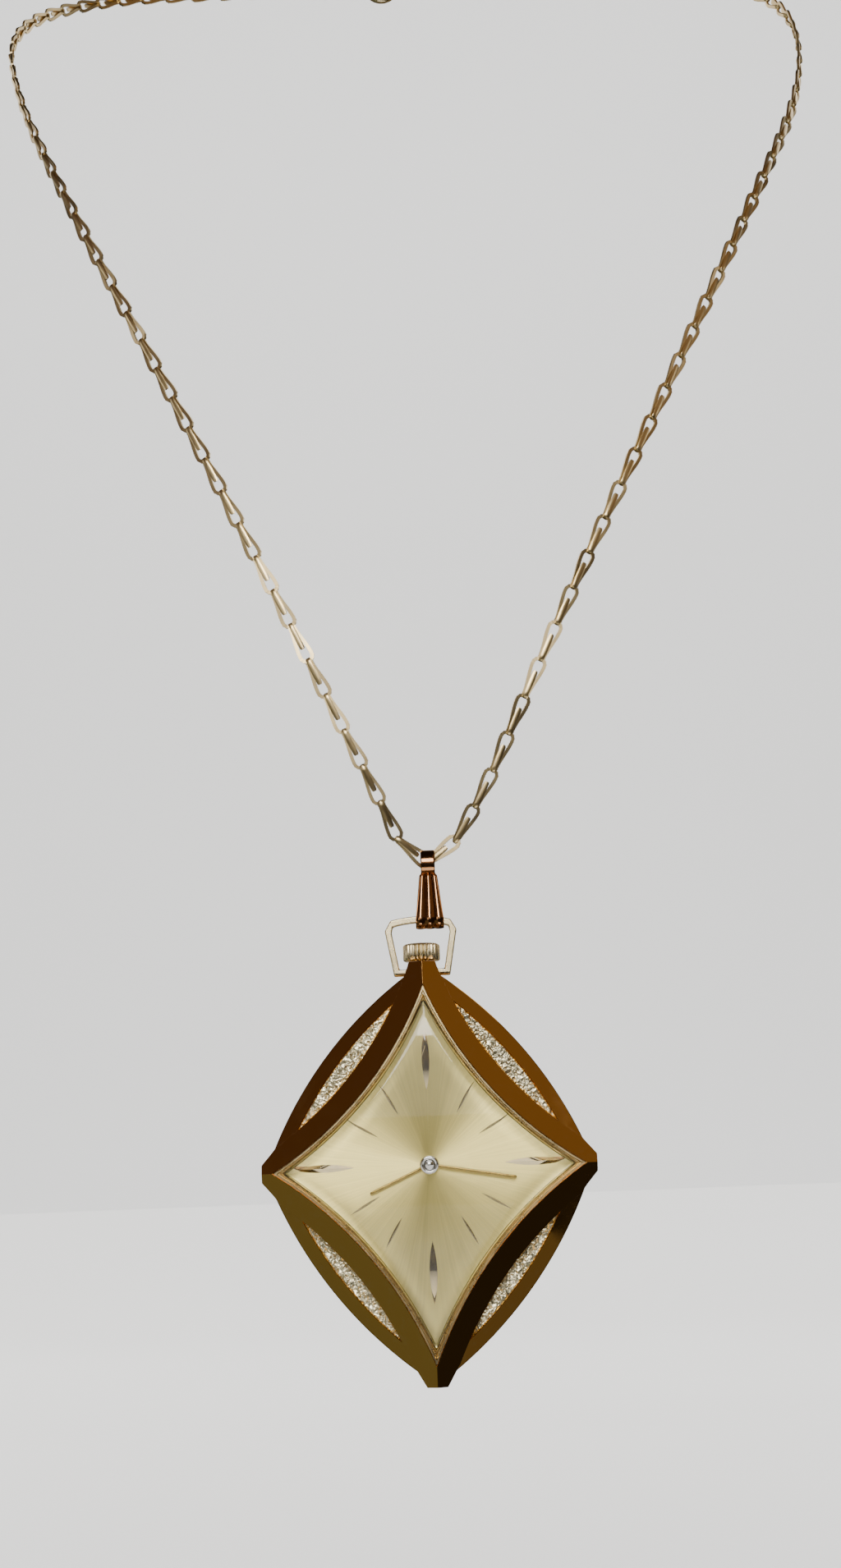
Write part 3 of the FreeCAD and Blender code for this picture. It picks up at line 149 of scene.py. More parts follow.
class Finishes(bpy.types.PropertyGroup):
    """Colours of the plating, dial and movement."""
    gold: colour("Polished gold", "Facets and rim of the case", 0.80, 0.47, 0.15)
    nugget: colour("Nugget gold", "Textured panels", 1.0, 0.93, 0.64)
    pale_gold: colour("Pale gold", "Bow, crown and chain", 0.82, 0.69, 0.42)
    chain: colour("Chain gold", "Links of the chain", 0.82, 0.64, 0.34)
    red_gold: colour("Red gold", "Bail", 0.48, 0.23, 0.10)
    worn: colour("Worn plating", "Where the plating is rubbed", 0.80, 0.74, 0.62)
    champagne: colour("Champagne", "Dial", 0.82, 0.70, 0.26)
    dark_marker: colour("Small markers", "The eight small hour markers", 0.26, 0.22, 0.12)
    hands: colour("Hand gilding", "Hands", 0.34, 0.25, 0.08)
    # Painted shade: the darker colour painted in fine specks over the textured panels.
    nugget_painted_shade: colour("Nugget hollows", "Low parts of the textured panels", 0.40, 0.29, 0.10)
    lip: colour("Crystal ring", "Ring that holds the crystal", 0.80, 0.64, 0.34)
    brass: colour("Brass", "Wheels of the movement", 0.80, 0.58, 0.24)
    nickel: colour("Nickel", "Plate and bridges", 0.72, 0.70, 0.66)
    steel: colour("Steel", "Polished steel parts", 0.62, 0.62, 0.61)
    blued: colour("Blued steel", "Screws and springs", 0.05, 0.09, 0.32)
    ruby: colour("Ruby", "Jewel bearings", 0.62, 0.02, 0.10)
    stage: colour("Stage", "Floor and backdrop", 0.80, 0.80, 0.79)


# ------------------------------------------------------------------ finishes
# The parts of a cloudy texture's range that show as marks, and how scratches lie.
SMUDGE_RANGE = (0.40, 0.66)
SCRATCH_RANGE = (0.66, 0.74)
RUBBED_RANGE = (0.54, 0.72)
MIDDLE_RANGE = (0.3, 0.7)
BROAD_RANGE = (0.35, 0.65)
SPECK_RANGE = (0.52, 0.68)
WHOLE_RANGE = (0.0, 1.0)
SCRATCH_TURNS = ((0.3, 0.8, 0.2), (1.1, -0.5, 0.9))
SCRATCH_STRETCH = (26.0, 0.7, 26.0)
BRUSH_STRETCH = (1.0, 0.02, 0.02)
RUB_SCALE = 3.1                # rubbed patches are this much finer than smudges
RAY_COUNT = 46.0
BROAD_RAYS = 2.2
SPECK_SCALE = 4200.0
RUBY_SCALE = 2500.0
STAGE_SCALE = 6.0


def node(tree, kind, inputs=None, **settings):
    """A node with its settings; inputs maps a socket's name or number to a value or another socket."""
    made = tree.nodes.new(kind)
    for name, value in settings.items():
        setattr(made, name, value)
    for key, value in (inputs or {}).items():
        socket = made.inputs[key]
        if isinstance(value, bpy.types.NodeSocket):
            tree.links.new(value, socket)
        else:
            socket.default_value = value
    return made


def maths(tree, operation, first, second):
    return node(tree, "ShaderNodeMath", {0: first, 1: second}, operation=operation).outputs[0]


def object_place(tree):
    return node(tree, "ShaderNodeTexCoord").outputs["Object"]


def mapped(tree, vector, **changes):
    return node(tree, "ShaderNodeMapping", {"Vector": vector, **changes}).outputs[0]


def clouds(tree, place, scale, detail=2.0, rough=0.5):
    """Cloudy texture with values about a half."""
    return node(tree, "ShaderNodeTexNoise",
                {"Vector": place, "Scale": scale, "Detail": detail, "Roughness": rough}).outputs["Fac"]


def ranged(tree, value, span, low=0.0, high=1.0):
    """A value moved from a span to the range from low to high, and held within it."""
    return node(tree, "ShaderNodeMapRange", {"Value": value, "From Min": span[0], "From Max": span[1],
                                             "To Min": low, "To Max": high}).outputs[0]


def shader_group(name, inputs, outputs):
    """An empty shader node group with named inputs and float outputs."""
    tree = bpy.data.node_groups.new(name, "ShaderNodeTree")
    for label, kind in inputs:
        tree.interface.new_socket(label, in_out="INPUT", socket_type=kind)
    for label in outputs:
        tree.interface.new_socket(label, in_out="OUTPUT", socket_type="NodeSocketFloat")
    return tree, node(tree, "NodeGroupInput"), node(tree, "NodeGroupOutput")


def make_wear_group():
    """Smudges, fine straight scratches and rubbed patches from handling."""
    tree, start, end = shader_group("Handling wear", [("Size", "NodeSocketFloat")],
                                    ["Smudges", "Scratches", "Rubbed"])
    place = object_place(tree)
    scale = maths(tree, "DIVIDE", 1.0, start.outputs["Size"])
    smudges = clouds(tree, place, scale, 4.0, 0.6)
    tree.links.new(ranged(tree, smudges, SMUDGE_RANGE), end.inputs["Smudges"])
    scratches = [clouds(tree, mapped(tree, place, Rotation=turn, Scale=SCRATCH_STRETCH), scale)
                 for turn in SCRATCH_TURNS]
    thin = [ranged(tree, lines, SCRATCH_RANGE) for lines in scratches]
    tree.links.new(maths(tree, "MAXIMUM", *thin), end.inputs["Scratches"])
    rubbed = clouds(tree, place, maths(tree, "MULTIPLY", scale, RUB_SCALE), 6.0, 0.7)
    tree.links.new(ranged(tree, rubbed, RUBBED_RANGE), end.inputs["Rubbed"])


def make_brushed_group():
    """Fine parallel lines, square to the first direction of the given vector."""
    tree, start, end = shader_group("Brushed lines", [("Vector", "NodeSocketVector"),
                                                      ("Spacing", "NodeSocketFloat")], ["Lines"])
    scale = maths(tree, "DIVIDE", 1.0, start.outputs["Spacing"])
    lines = clouds(tree, mapped(tree, start.outputs["Vector"], Scale=BRUSH_STRETCH), scale, 3.0)
    tree.links.new(ranged(tree, lines, MIDDLE_RANGE), end.inputs["Lines"])


def make_sunray_group():
    """Rays that spread from the vector's origin in its X-Z plane."""
    tree, start, end = shader_group("Sunrays", [("Vector", "NodeSocketVector"),
                                                ("Rays", "NodeSocketFloat")], ["Fine", "Broad"])
    parts = node(tree, "ShaderNodeSeparateXYZ", {0: start.outputs["Vector"]})
    flat = node(tree, "ShaderNodeCombineXYZ", {0: parts.outputs[0], 1: parts.outputs[2]})
    unit = node(tree, "ShaderNodeVectorMath", {0: flat.outputs[0]}, operation="NORMALIZE").outputs[0]
    fine = clouds(tree, unit, start.outputs["Rays"])
    tree.links.new(ranged(tree, fine, MIDDLE_RANGE), end.inputs["Fine"])
    broad = clouds(tree, unit, BROAD_RAYS, 1.0)
    tree.links.new(ranged(tree, broad, BROAD_RANGE), end.inputs["Broad"])


def group(tree, shared, inputs):
    return node(tree, "ShaderNodeGroup", inputs, node_tree=bpy.data.node_groups[shared])


def material(name, **constants):
    """A material with one Principled shader, its plain numbers set on its own sockets."""
    made = bpy.data.materials.new(name)
    made.use_nodes = True
    shader = made.node_tree.nodes["Principled BSDF"]
    for label, value in constants.items():
        shader.inputs[label.replace("_", " ")].default_value = value
    return made, made.node_tree, shader


def blended(tree, factor, first, second):
    """A colour between two, by a mask."""
    return node(tree, "ShaderNodeMix", {0: factor, 6: (*first, 1.0), 7: (*second, 1.0)},
                data_type="RGBA").outputs[2]


def dimmed(tint, share):
    return tuple(min(1.0, c * share) for c in tint)


def surfaced(tree, shader, tint, roughness):
    """Lead a colour and a roughness into a shader."""
    tree.links.new(tint, shader.inputs["Base Color"])
    tree.links.new(roughness, shader.inputs["Roughness"])


def relief(tree, shader, height, depth, strength):
    bump = node(tree, "ShaderNodeBump", {"Height": height, "Distance": depth * MM, "Strength": strength})
    tree.links.new(bump.outputs[0], shader.inputs["Normal"])


def plated(name, base, worn, rub, low, high, size):
    """Plated metal with smudges in its gloss, fine scratches and rubbed patches of a size in mm."""
    made, tree, shader = material(name, Metallic=1.0)
    marks = group(tree, "Handling wear", {"Size": size * MM})
    amount = maths(tree, "MULTIPLY", marks.outputs["Rubbed"], rub)
    surfaced(tree, shader, blended(tree, amount, base, worn),
             ranged(tree, marks.outputs["Smudges"], WHOLE_RANGE, low, high))
    relief(tree, shader, marks.outputs["Scratches"], 0.002, 0.5)
    return made


def nugget_gold(colours):
    """Bright crinkled gold with painted shade: darker specks painted into its colour for the shade of its
    hollows.
    """
    made, tree, shader = material("Nugget gold", Metallic=1.0)
    specks = clouds(tree, object_place(tree), SPECK_SCALE, 3.0)
    # Painted shade: the specks blend the colour towards a darker one.
    mask = ranged(tree, specks, SPECK_RANGE, 0.0, 0.6)
    surfaced(tree, shader, blended(tree, mask, colours.nugget, colours.nugget_painted_shade),
             ranged(tree, specks, MIDDLE_RANGE, 0.26, 0.42))
    relief(tree, shader, specks, 0.05, 0.8)
    return made


def sunburst(colours):
    """Champagne lacquer over a brushed sunray ground."""
    made, tree, shader = material("Sunburst dial", Metallic=0.96, Anisotropic=0.8, Coat_Weight=0.10,
                                  Coat_Roughness=0.12)
    centred = mapped(tree, object_place(tree), Location=tuple(-ORIGIN))
    rays = group(tree, "Sunrays", {"Vector": centred, "Rays": RAY_COUNT}).outputs
    tone = blended(tree, rays["Fine"], dimmed(colours.champagne, 0.90), dimmed(colours.champagne, 1.06))
    surfaced(tree, shader, tone, ranged(tree, rays["Broad"], WHOLE_RANGE, 0.28, 0.34))
    # The brushing runs outwards, so its tangent runs round the hands' axis.
    parts = node(tree, "ShaderNodeSeparateXYZ", {0: centred}).outputs
    back = maths(tree, "MULTIPLY", parts[2], -1.0)
    round_way = node(tree, "ShaderNodeCombineXYZ", {0: back, 2: parts[0]}).outputs[0]
    in_world = node(tree, "ShaderNodeVectorTransform", {0: round_way}, vector_type="VECTOR",
                    convert_from="OBJECT", convert_to="WORLD")
    tree.links.new(in_world.outputs[0], shader.inputs["Tangent"])
    relief(tree, shader, rays["Fine"], 0.0015, 0.35)
    return made


def clear_acrylic():
    """Clear crystal that lets lamps reach the dial."""
    made, tree, shader = material("Clear acrylic", Base_Color=(1.0, 1.0, 1.0, 1.0), Roughness=0.02,
                                  IOR=1.49, Transmission_Weight=1.0)
    path = node(tree, "ShaderNodeLightPath")
    clear = node(tree, "ShaderNodeBsdfTransparent")
    mix = node(tree, "ShaderNodeMixShader", {0: path.outputs["Is Shadow Ray"], 1: shader.outputs[0],
                                             2: clear.outputs[0]})
    tree.links.new(mix.outputs[0], tree.nodes["Material Output"].inputs["Surface"])
    return made


def brushed(name, base, spacing, low, high, turn=0.0):
    """Metal with fine straight brushing, its spacing in mm, turned about the Y direction."""
    made, tree, shader = material(name, Metallic=1.0)
    laid = mapped(tree, object_place(tree), Rotation=(0.0, turn, 0.0))
    lines = group(tree, "Brushed lines", {"Vector": laid, "Spacing": spacing * MM}).outputs["Lines"]
    marks = group(tree, "Handling wear", {"Size": 4 * MM})
    marred = maths(tree, "ADD", lines, marks.outputs["Smudges"])
    surfaced(tree, shader, blended(tree, lines, dimmed(base, 0.86), base),
             ranged(tree, marred, (0.0, 2.0), low, high))
    relief(tree, shader, lines, 0.003, 0.6)
    return made


def clouded(name, base, share, scale, detail, low, high, **constants):
    """A plain surface whose colour and gloss vary in soft clouds."""
    made, tree, shader = material(name, Metallic=0.0, **constants)
    cloud = clouds(tree, object_place(tree), scale, detail)
    surfaced(tree, shader, blended(tree, cloud, dimmed(base, share), base),
             ranged(tree, cloud, MIDDLE_RANGE, low, high))
    return made


def make_finishes(colours):
    """Every material, by the name its pieces use."""
    make_wear_group()
    make_brushed_group()
    make_sunray_group()
    c = colours
    return {
        "gold": plated("Polished gold plate", c.gold, c.worn, 0.10, 0.045, 0.13, 5),
        "rim": plated("Polished rim", c.gold, c.worn, 0.12, 0.05, 0.15, 4),
        "lip": plated("Worn lip", c.lip, c.worn, 0.40, 0.24, 0.32, 3),
        "pale": plated("Worn pale gold", c.pale_gold, c.worn, 0.60, 0.22, 0.32, 3),
        "chain": plated("Chain gold", c.chain, c.worn, 0.20, 0.28, 0.36, 3),
        "bail": plated("Red gold", c.red_gold, c.worn, 0.12, 0.08, 0.20, 2),
        "nugget": nugget_gold(c),
        "dial": sunburst(c),
        "marker": plated("Marker facets", c.pale_gold, c.gold, 0.10, 0.04, 0.10, 2),
        "dark_marker": plated("Dark marker facets", c.dark_marker, c.gold, 0.10, 0.08, 0.14, 2),
        "hand": plated("Hand gilding", c.hands, c.gold, 0.20, 0.16, 0.26, 1.5),
        "crystal": clear_acrylic(),
        "back": brushed("Brushed gold back", c.gold, 0.05, 0.18, 0.34),
        "brass": brushed("Gilt brass", c.brass, 0.04, 0.20, 0.34, turn=0.6),
        "nickel": brushed("Nickel plate", c.nickel, 0.06, 0.18, 0.32, turn=0.8),
        "steel": plated("Polished steel", c.steel, c.worn, 0.15, 0.08, 0.20, 1.2),
        "blued": plated("Blued steel", c.blued, c.steel, 0.12, 0.10, 0.22, 0.8),
        "ruby": clouded("Ruby", c.ruby, 0.6, RUBY_SCALE, 2.0, 0.06, 0.14, IOR=1.77, Coat_Weight=0.4),
        "ring": brushed("Matt ring", c.steel, 0.08, 0.40, 0.55),
        "stage": clouded("Pale stage", c.stage, 0.97, STAGE_SCALE, 3.0, 0.75, 0.85),
    }


FINISHES = {}


# ------------------------------------------------------------------ mesh helpers
SAME_POINT = 1e-7
EASED_FROM = 28.0              # edges sharper than this, in degrees, are eased


def circle(radius, steps, start=0.0):
    """Points round a circle, as two coordinates."""
    angles = (2 * math.pi * (i + start) / steps for i in range(steps))
    return [(radius * math.cos(a), radius * math.sin(a)) for a in angles]


def between(a, b, steps):
    """Points that split the way from a to b into steps, without its ends."""
    return [(a[0] + (b[0] - a[0]) * i / steps, a[1] + (b[1] - a[1]) * i / steps) for i in range(1, steps)]


def square_to(line, i, before, after):
    """Unit direction square to a flat line, from the points before and after one of its points."""
    u, v = line[after][0] - line[before][0], line[after][1] - line[before][1]
    size = math.hypot(u, v)
    return v / size, -u / size


def clock_turned(points, clockwise):
    """Points turned about the hands' axis by degrees clockwise."""
    angle = math.radians(clockwise)
    sin, cos = math.sin(angle), math.cos(angle)
    return [(x * cos + z * sin, y, z * cos - x * sin) for x, y, z in points]


def shade(mesh, smooth):
    mesh.shade_smooth()
    mesh.set_sharp_from_angle(angle=math.radians(smooth))


def mesh_from(name, points, faces, smooth):
    """A mesh whose faces look outwards; edges sharper than smooth degrees stay crisp."""
    mesh = bpy.data.meshes.new(name)
    mesh.from_pydata(points, [], faces)
    bm = bmesh.new()
    bm.from_mesh(mesh)
    bmesh.ops.remove_doubles(bm, verts=bm.verts, dist=SAME_POINT)
    bmesh.ops.recalc_face_normals(bm, faces=bm.faces)
    bm.to_mesh(mesh)
    bm.free()
    shade(mesh, smooth)
    return mesh


def shown(name, data):
    """A new object in the scene."""
    made = bpy.data.objects.new(name, data)
    bpy.context.scene.collection.objects.link(made)
    return made


def piece_from(name, points, faces, smooth=30.0):
    """A closed mesh object from points about ORIGIN."""
    return shown(name, mesh_from(name, [Vector(p) + ORIGIN for p in points], faces, smooth))


def evaluated(piece):
    graph = bpy.context.evaluated_depsgraph_get()
    return bpy.data.meshes.new_from_object(piece.evaluated_get(graph))


def applied(piece):
    """Turn a piece's modifiers into plain mesh."""
    mesh = evaluated(piece)
    piece.modifiers.clear()
    piece.data = mesh


def loft(loops, ring=False):
    """Points and faces joining loops of equal length, one after the other."""
    count = len(loops[0])
    points = [p for one in loops for p in one]
    faces = []
    for i in range(len(loops) if ring else len(loops) - 1):
        a, b = i * count, (i + 1) % len(loops) * count
        for j in range(count):
            k = (j + 1) % count
            faces.append((a + j, a + k, b + k, b + j))
    if not ring:
        faces.append(tuple(range(count)))
        faces.append(tuple(range(len(points) - count, len(points))))
    return points, faces


def joined(*parts):
    """Several (points, faces) as one."""
    points, faces = [], []
    for more_points, more_faces in parts:
        start = len(points)
        points += list(more_points)
        faces += [tuple(i + start for i in face) for face in more_faces]
    return points, faces


def rings(profile, steps):
    """Circles about the hands' axis, one for each (radius, depth)."""
    return [at_depth(circle(radius, steps), depth) for radius, depth in profile]


def turned(name, profile, steps=128, **settings):
    """A solid turned about the hands' axis; profile is (radius, depth) from end to end."""
    return piece_from(name, *loft(rings(profile, steps)), **settings)


def at_depth(outline, depth):
    return [(x, depth, z) for x, z in outline]


def slab(outline, front, back):
    """A plate with an (x, z) outline."""
    return loft([at_depth(outline, depth) for depth in (front, back)])


def cut(piece, tool, operation="DIFFERENCE"):
    """Cut a piece with another closed mesh, which is then thrown away."""
    change = piece.modifiers.new("cut", "BOOLEAN")
    change.operation = operation
    change.solver = "EXACT"
    change.object = tool
    applied(piece)
    bpy.data.objects.remove(tool)


def eased(piece, width):
    """Break the sharp edges of a piece by a small round."""
    edge = piece.modifiers.new("eased", "BEVEL")
    edge.width = width
    edge.segments = 2
    edge.limit_method = "ANGLE"
    edge.angle_limit = math.radians(EASED_FROM)
    edge.harden_normals = True
    edge.use_clamp_overlap = True
    applied(piece)


def finish(piece, material, body, slot, *nodes):
    """Give a finished mesh its material and its body, and hide the CAD pieces it stands for; slot is not
    used.
    """
    piece.data.materials.clear()
    piece.data.materials.append(material)
    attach(piece, body)
    if nodes:
        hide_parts(*nodes)
    return piece


# ------------------------------------------------------------------ case outlines
def arc_centre(a, b, rise):
    """Centre and radius of the arc from a to b that rises to the left of the line a-b."""
    chord = math.hypot(b[0] - a[0], b[1] - a[1])
    radius = (chord * chord / 4 + rise * rise) / (2 * abs(rise))
    left = ((a[1] - b[1]) / chord, (b[0] - a[0]) / chord)
    away = math.copysign(1.0, rise) * (radius - abs(rise))
    middle = ((a[0] + b[0]) / 2, (a[1] + b[1]) / 2)
    return (middle[0] - left[0] * away, middle[1] - left[1] * away), radius


def arc_points(centre, start, end, count):
    """Points along the shorter arc from start to end, without the end."""
    a = math.atan2(start[1] - centre[1], start[0] - centre[0])
    b = math.atan2(end[1] - centre[1], end[0] - centre[0])
    turn = (b - a + math.pi) % (2 * math.pi) - math.pi
    radius = math.hypot(start[0] - centre[0], start[1] - centre[1])
    last = math.hypot(end[0] - centre[0], end[1] - centre[1])
    points = []
    for i in range(count):
        t = i / count
        r = radius + (last - radius) * t
        points.append((centre[0] + r * math.cos(a + turn * t), centre[1] + r * math.sin(a + turn * t)))
    return points


QUARTERS = ((1, 1), (-1, 1), (-1, -1), (1, -1))
SIDE_STEPS = 60                # points along one side of the case
BAND_LOW, BAND_HIGH = local_box("case_band")
BACK_LOW, BACK_HIGH = local_box("case_back")
FRAME_LOW, FRAME_HIGH = local_box("front_frame")
BAND_TOP_REACH = 1.2 * MM      # the back layer's top edge, above the opening's corner
BAND_CORNER_RISE = 2.2 * MM
BAND_CORNER_HALF = 2.3 * MM
PANEL_DEPTH = 1.3 * MM         # floor of the textured panels
PANEL_GAP = 0.12 * MM
EDGE = 0.07 * MM               # the small round on polished edges
POINT_BEVEL, SIDE_BEVEL = 1.4 * MM, 1.2 * MM
POINT_BLEND = 2.4 * MM         # how far a point's bevels run back along it
NECK_SPREAD = MM               # the neck widens by this, down its bevels
NECK_FOOT, NECK_BACK = 19.5 * MM, 5.2 * MM
NECK_ROUND = 0.12 * MM
RIM_CREST, RIM_EDGE, RIM_BACK = MM, 2.6 * MM, 4.4 * MM    # depths along the polished rim
RIM_ROUND, CREST_HALF, CREST_DROP = 0.05 * MM, 0.04 * MM, 0.08 * MM
BAND_SLOPE = 1.5 * MM          # the band narrows by this down to its back
STEM_HOLE = 1.1 * MM
FIT = 0.05 * MM                # between parts that drop into each other
PAST = 5 * MM                  # how far a cutting shape runs past the piece
RING_RADIUS = local_box("movement_ring")[1].x


def opening_corners(case, sx, sz):
    """The side corner and the top or bottom corner of one quarter of the opening."""
    end = case.opening_top if sz > 0 else case.opening_bottom
    return (sx * case.opening_half_width, case.tip_height), (0.0, end)


def opening_arc(case, sx, sz):
    """Arc of one hollow side of the opening; its centre lies outside the case."""
    side, end = opening_corners(case, sx, sz)
    return arc_centre(side, end, case.opening_hollow if sx * sz > 0 else -case.opening_hollow)


def crossing(centre, radius, x=None, z=None, near=(0.0, 0.0)):
    """Where a circle meets an upright or a level line, on the side nearer to a point."""
    fixed, across = (x - centre[0], 1) if z is None else (z - centre[1], 0)
    reach = math.sqrt(max(radius * radius - fixed * fixed, 0.0))
    best = min((centre[across] - reach, centre[across] + reach), key=lambda v: abs(v - near[across]))
    return (x, best) if z is None else (best, z)


def opening_loop(case, offset):
    """Outline of the opening, moved inwards by offset, as (x, z) points."""
    corners = {}
    arcs = {}
    for sx, sz in QUARTERS:
        centre, radius = opening_arc(case, sx, sz)
        radius += offset
        side, end = opening_corners(case, sx, sz)
        arcs[sx, sz] = centre
        corners["end", sz] = crossing(centre, radius, x=0.0, near=end)
        tip = crossing(centre, radius, z=case.tip_height, near=side)
        other = corners.get(("side", sx))
        corners["side", sx] = tip if other is None else ((tip[0] + other[0]) / 2, tip[1])
    points = []
    for sx, sz in QUARTERS:
        side, end = corners["side", sx], corners["end", sz]
        start, stop = (side, end) if sx * sz > 0 else (end, side)
        points += arc_points(arcs[sx, sz], start, stop, SIDE_STEPS)
    return points


def band_arc(case, sx, sz):
    """Arc of one full side of the back layer; its centre lies across the case."""
    top = case.opening_top + BAND_TOP_REACH
    side = (sx * BAND_HIGH.x, case.tip_height + sz * BAND_CORNER_RISE)
    end = (sx * BAND_CORNER_HALF, top if sz > 0 else BAND_LOW.z)
    return arc_centre(side, end, -case.band_bulge if sx * sz > 0 else case.band_bulge)


def band_loop(case, inset):
    """Outline of the back layer, drawn in by inset, as (x, z) points."""
    top = case.opening_top + BAND_TOP_REACH - inset
    points = []
    for sx, sz in QUARTERS:
        centre, radius = band_arc(case, sx, sz)
        x = sx * (BAND_HIGH.x - inset)
        z = top if sz > 0 else BAND_LOW.z + inset
        side = crossing(centre, radius - inset, x=x, near=(x, case.tip_height + sz * BAND_CORNER_RISE))
        end = crossing(centre, radius - inset, z=z, near=(sx * BAND_CORNER_HALF, z))
        start, stop = (side, end) if sx * sz > 0 else (end, side)
        points += arc_points(centre, start, stop, SIDE_STEPS) + [stop]
    return points


def points_outline(case):
    """The outer limit of the front frame: flats and small bevels on its four points."""
    tip, half = FRAME_HIGH.x, case.side_flat / 2
    foot = case.bottom_flat / 2
    high, low = case.tip_height + half, case.tip_height - half
    right = [
        (case.neck_half, FRAME_HIGH.z),
        (case.neck_half + NECK_SPREAD, FRAME_HIGH.z - POINT_BLEND),
        (tip - SIDE_BEVEL, high + POINT_BEVEL),
        (tip, high),
        (tip, low),
        (tip - SIDE_BEVEL, low - POINT_BEVEL),
        (foot + POINT_BEVEL, FRAME_LOW.z + POINT_BLEND),
        (foot, FRAME_LOW.z),
    ]
    return right + [(-x, z) for x, z in reversed(right)]


def make_front_frame(case, material):
    profile = [
        (0.0, PANEL_DEPTH),
        (0.0, case.facet_front),
        (-case.facet_width, case.facet_edge),
        (-case.facet_width, PANEL_DEPTH),
    ]
    loops = [at_depth(opening_loop(case, offset), depth) for offset, depth in profile]
    piece = piece_from("front_frame_polished", *loft(loops, ring=True))
    limit = piece_from("limit", *slab(points_outline(case), -PAST, PAST))
    cut(piece, limit, "INTERSECT")
    shade(piece.data, 25)
    eased(piece, EDGE)
    finish(piece, material, "case", "gold_frame", "front_frame")


def make_case_band(case, material):
    """The back layer, with its polished rim, its neck and the bore for the movement."""
    rim = case.rim_width
    profile = [
        (rim + PANEL_GAP, PANEL_DEPTH),
        (rim + PANEL_GAP, RIM_CREST + CREST_DROP),
        (rim + CREST_HALF, RIM_CREST),
        (EDGE, RIM_EDGE - RIM_ROUND),
        (0.0, RIM_EDGE + RIM_ROUND),
        (0.0, RIM_BACK - EDGE),
        (EDGE, RIM_BACK + EDGE),
        (BAND_SLOPE, BAND_HIGH.y),
    ]
    loops = [at_depth(band_loop(case, inset), depth) for inset, depth in profile]
    piece = piece_from("case_band_polished", *loft(loops), smooth=20)
    neck = [(-case.neck_half, NECK_FOOT), (case.neck_half, NECK_FOOT),
            (case.neck_half, FRAME_HIGH.z), (-case.neck_half, FRAME_HIGH.z)]
    block = piece_from("neck", *slab(neck, PANEL_DEPTH, NECK_BACK))
    eased(block, NECK_ROUND)
    cut(piece, block, "UNION")
    bore = RING_RADIUS + FIT
    cut(piece, turned("bore", [(bore, -MM), (bore, BAND_HIGH.y + PAST)]))
    hole, faces = loft(rings([(STEM_HOLE, 0.0), (STEM_HOLE, FRAME_HIGH.z + PAST)], 32))
    cut(piece, piece_from("stem_hole", [(x, STEM_DEPTH + z, y) for x, y, z in hole], faces))
    shade(piece.data, 20)
    finish(piece, material, "case", "gold_band", "case_band")


def crinkle(x, z, grain):
    """Height, 0 to 1, of the crinkled nugget texture."""
    at = Vector((x, 0.0, z)) / grain
    at += noise.noise_vector(at * 0.8) * 0.55
    near = noise.voronoi(at, distance_metric="DISTANCE")[0]
    ridge = min((near[1] - near[0]) * 1.7, 1.0)
    lumps = 0.5 + 0.5 * noise.noise(at * 2.3)
    return 0.62 * (1.0 - ridge) + 0.38 * lumps


PANEL_ROWS, PANEL_COLUMNS = 22, 230
PANEL_SEED = 7                 # fixes the panels' crinkles
PANEL_FADE = 0.18 * MM         # the relief dies away over this at a panel's edge
PANEL_BASE = 0.03 * MM


def make_panels(case, material):
    """Four textured lenses between the facet and the rim."""
    rows, columns = PANEL_ROWS, PANEL_COLUMNS
    noise.seed_set(PANEL_SEED)
    parts = []
    for sx, sz in QUARTERS:
        (ax, az), a_radius = opening_arc(case, sx, sz)
        (bx, bz), b_radius = band_arc(case, sx, sz)
        a_radius -= case.facet_width - FIT
        b_radius -= case.rim_width + 0.06 * MM
        apart = math.hypot(ax - bx, az - bz)
        along = ((ax - bx) / apart, (az - bz) / apart)
        reach = (b_radius ** 2 - a_radius ** 2 + apart ** 2) / (2 * apart)
        half = math.sqrt(b_radius ** 2 - reach ** 2)
        top = []
        for j in range(columns + 1):
            t = -half + 2 * half * j / columns
            inner = apart - math.sqrt(a_radius ** 2 - t * t)
            outer = math.sqrt(b_radius ** 2 - t * t)
            row = []
            for i in range(rows + 1):
                v = i / rows
                r = inner + (outer - inner) * v
                x = bx + along[0] * r - along[1] * t
                z = bz + along[1] * r + along[0] * t
                fade = min(min(v, 1 - v) * (outer - inner) / PANEL_FADE, 1.0)
                height = PANEL_BASE + case.panel_relief * crinkle(x, z, case.panel_grain) * fade
                row.append((x, PANEL_DEPTH - height, z))
            top.append(row)
        # A flat underside joined to the relief round its edge closes the lens.
        points = [p for row in top for p in row]
        width = rows + 1
        faces = [(j * width + i, j * width + i + 1, (j + 1) * width + i + 1, (j + 1) * width + i)
                 for j in range(columns) for i in range(rows)]
        rim = [j * width for j in range(columns + 1)]
        rim += [columns * width + i for i in range(1, width)]
        rim += [j * width + rows for j in range(columns - 1, -1, -1)]
        rim += range(rows - 1, 0, -1)
        start = len(points)
        points += [(points[i][0], PANEL_DEPTH + 0.2 * MM, points[i][2]) for i in rim]
        count = len(rim)
        faces += [(rim[k], rim[(k + 1) % count], start + (k + 1) % count, start + k) for k in range(count)]
        faces.append(tuple(range(start, start + count)))
        parts.append((points, faces))
    piece = piece_from("nugget_panels", *joined(*parts), smooth=12)
    finish(piece, material, "case", "gold_band")


LIP_DRAWN = 0.8 * MM           # the width that the lip's profile is drawn for


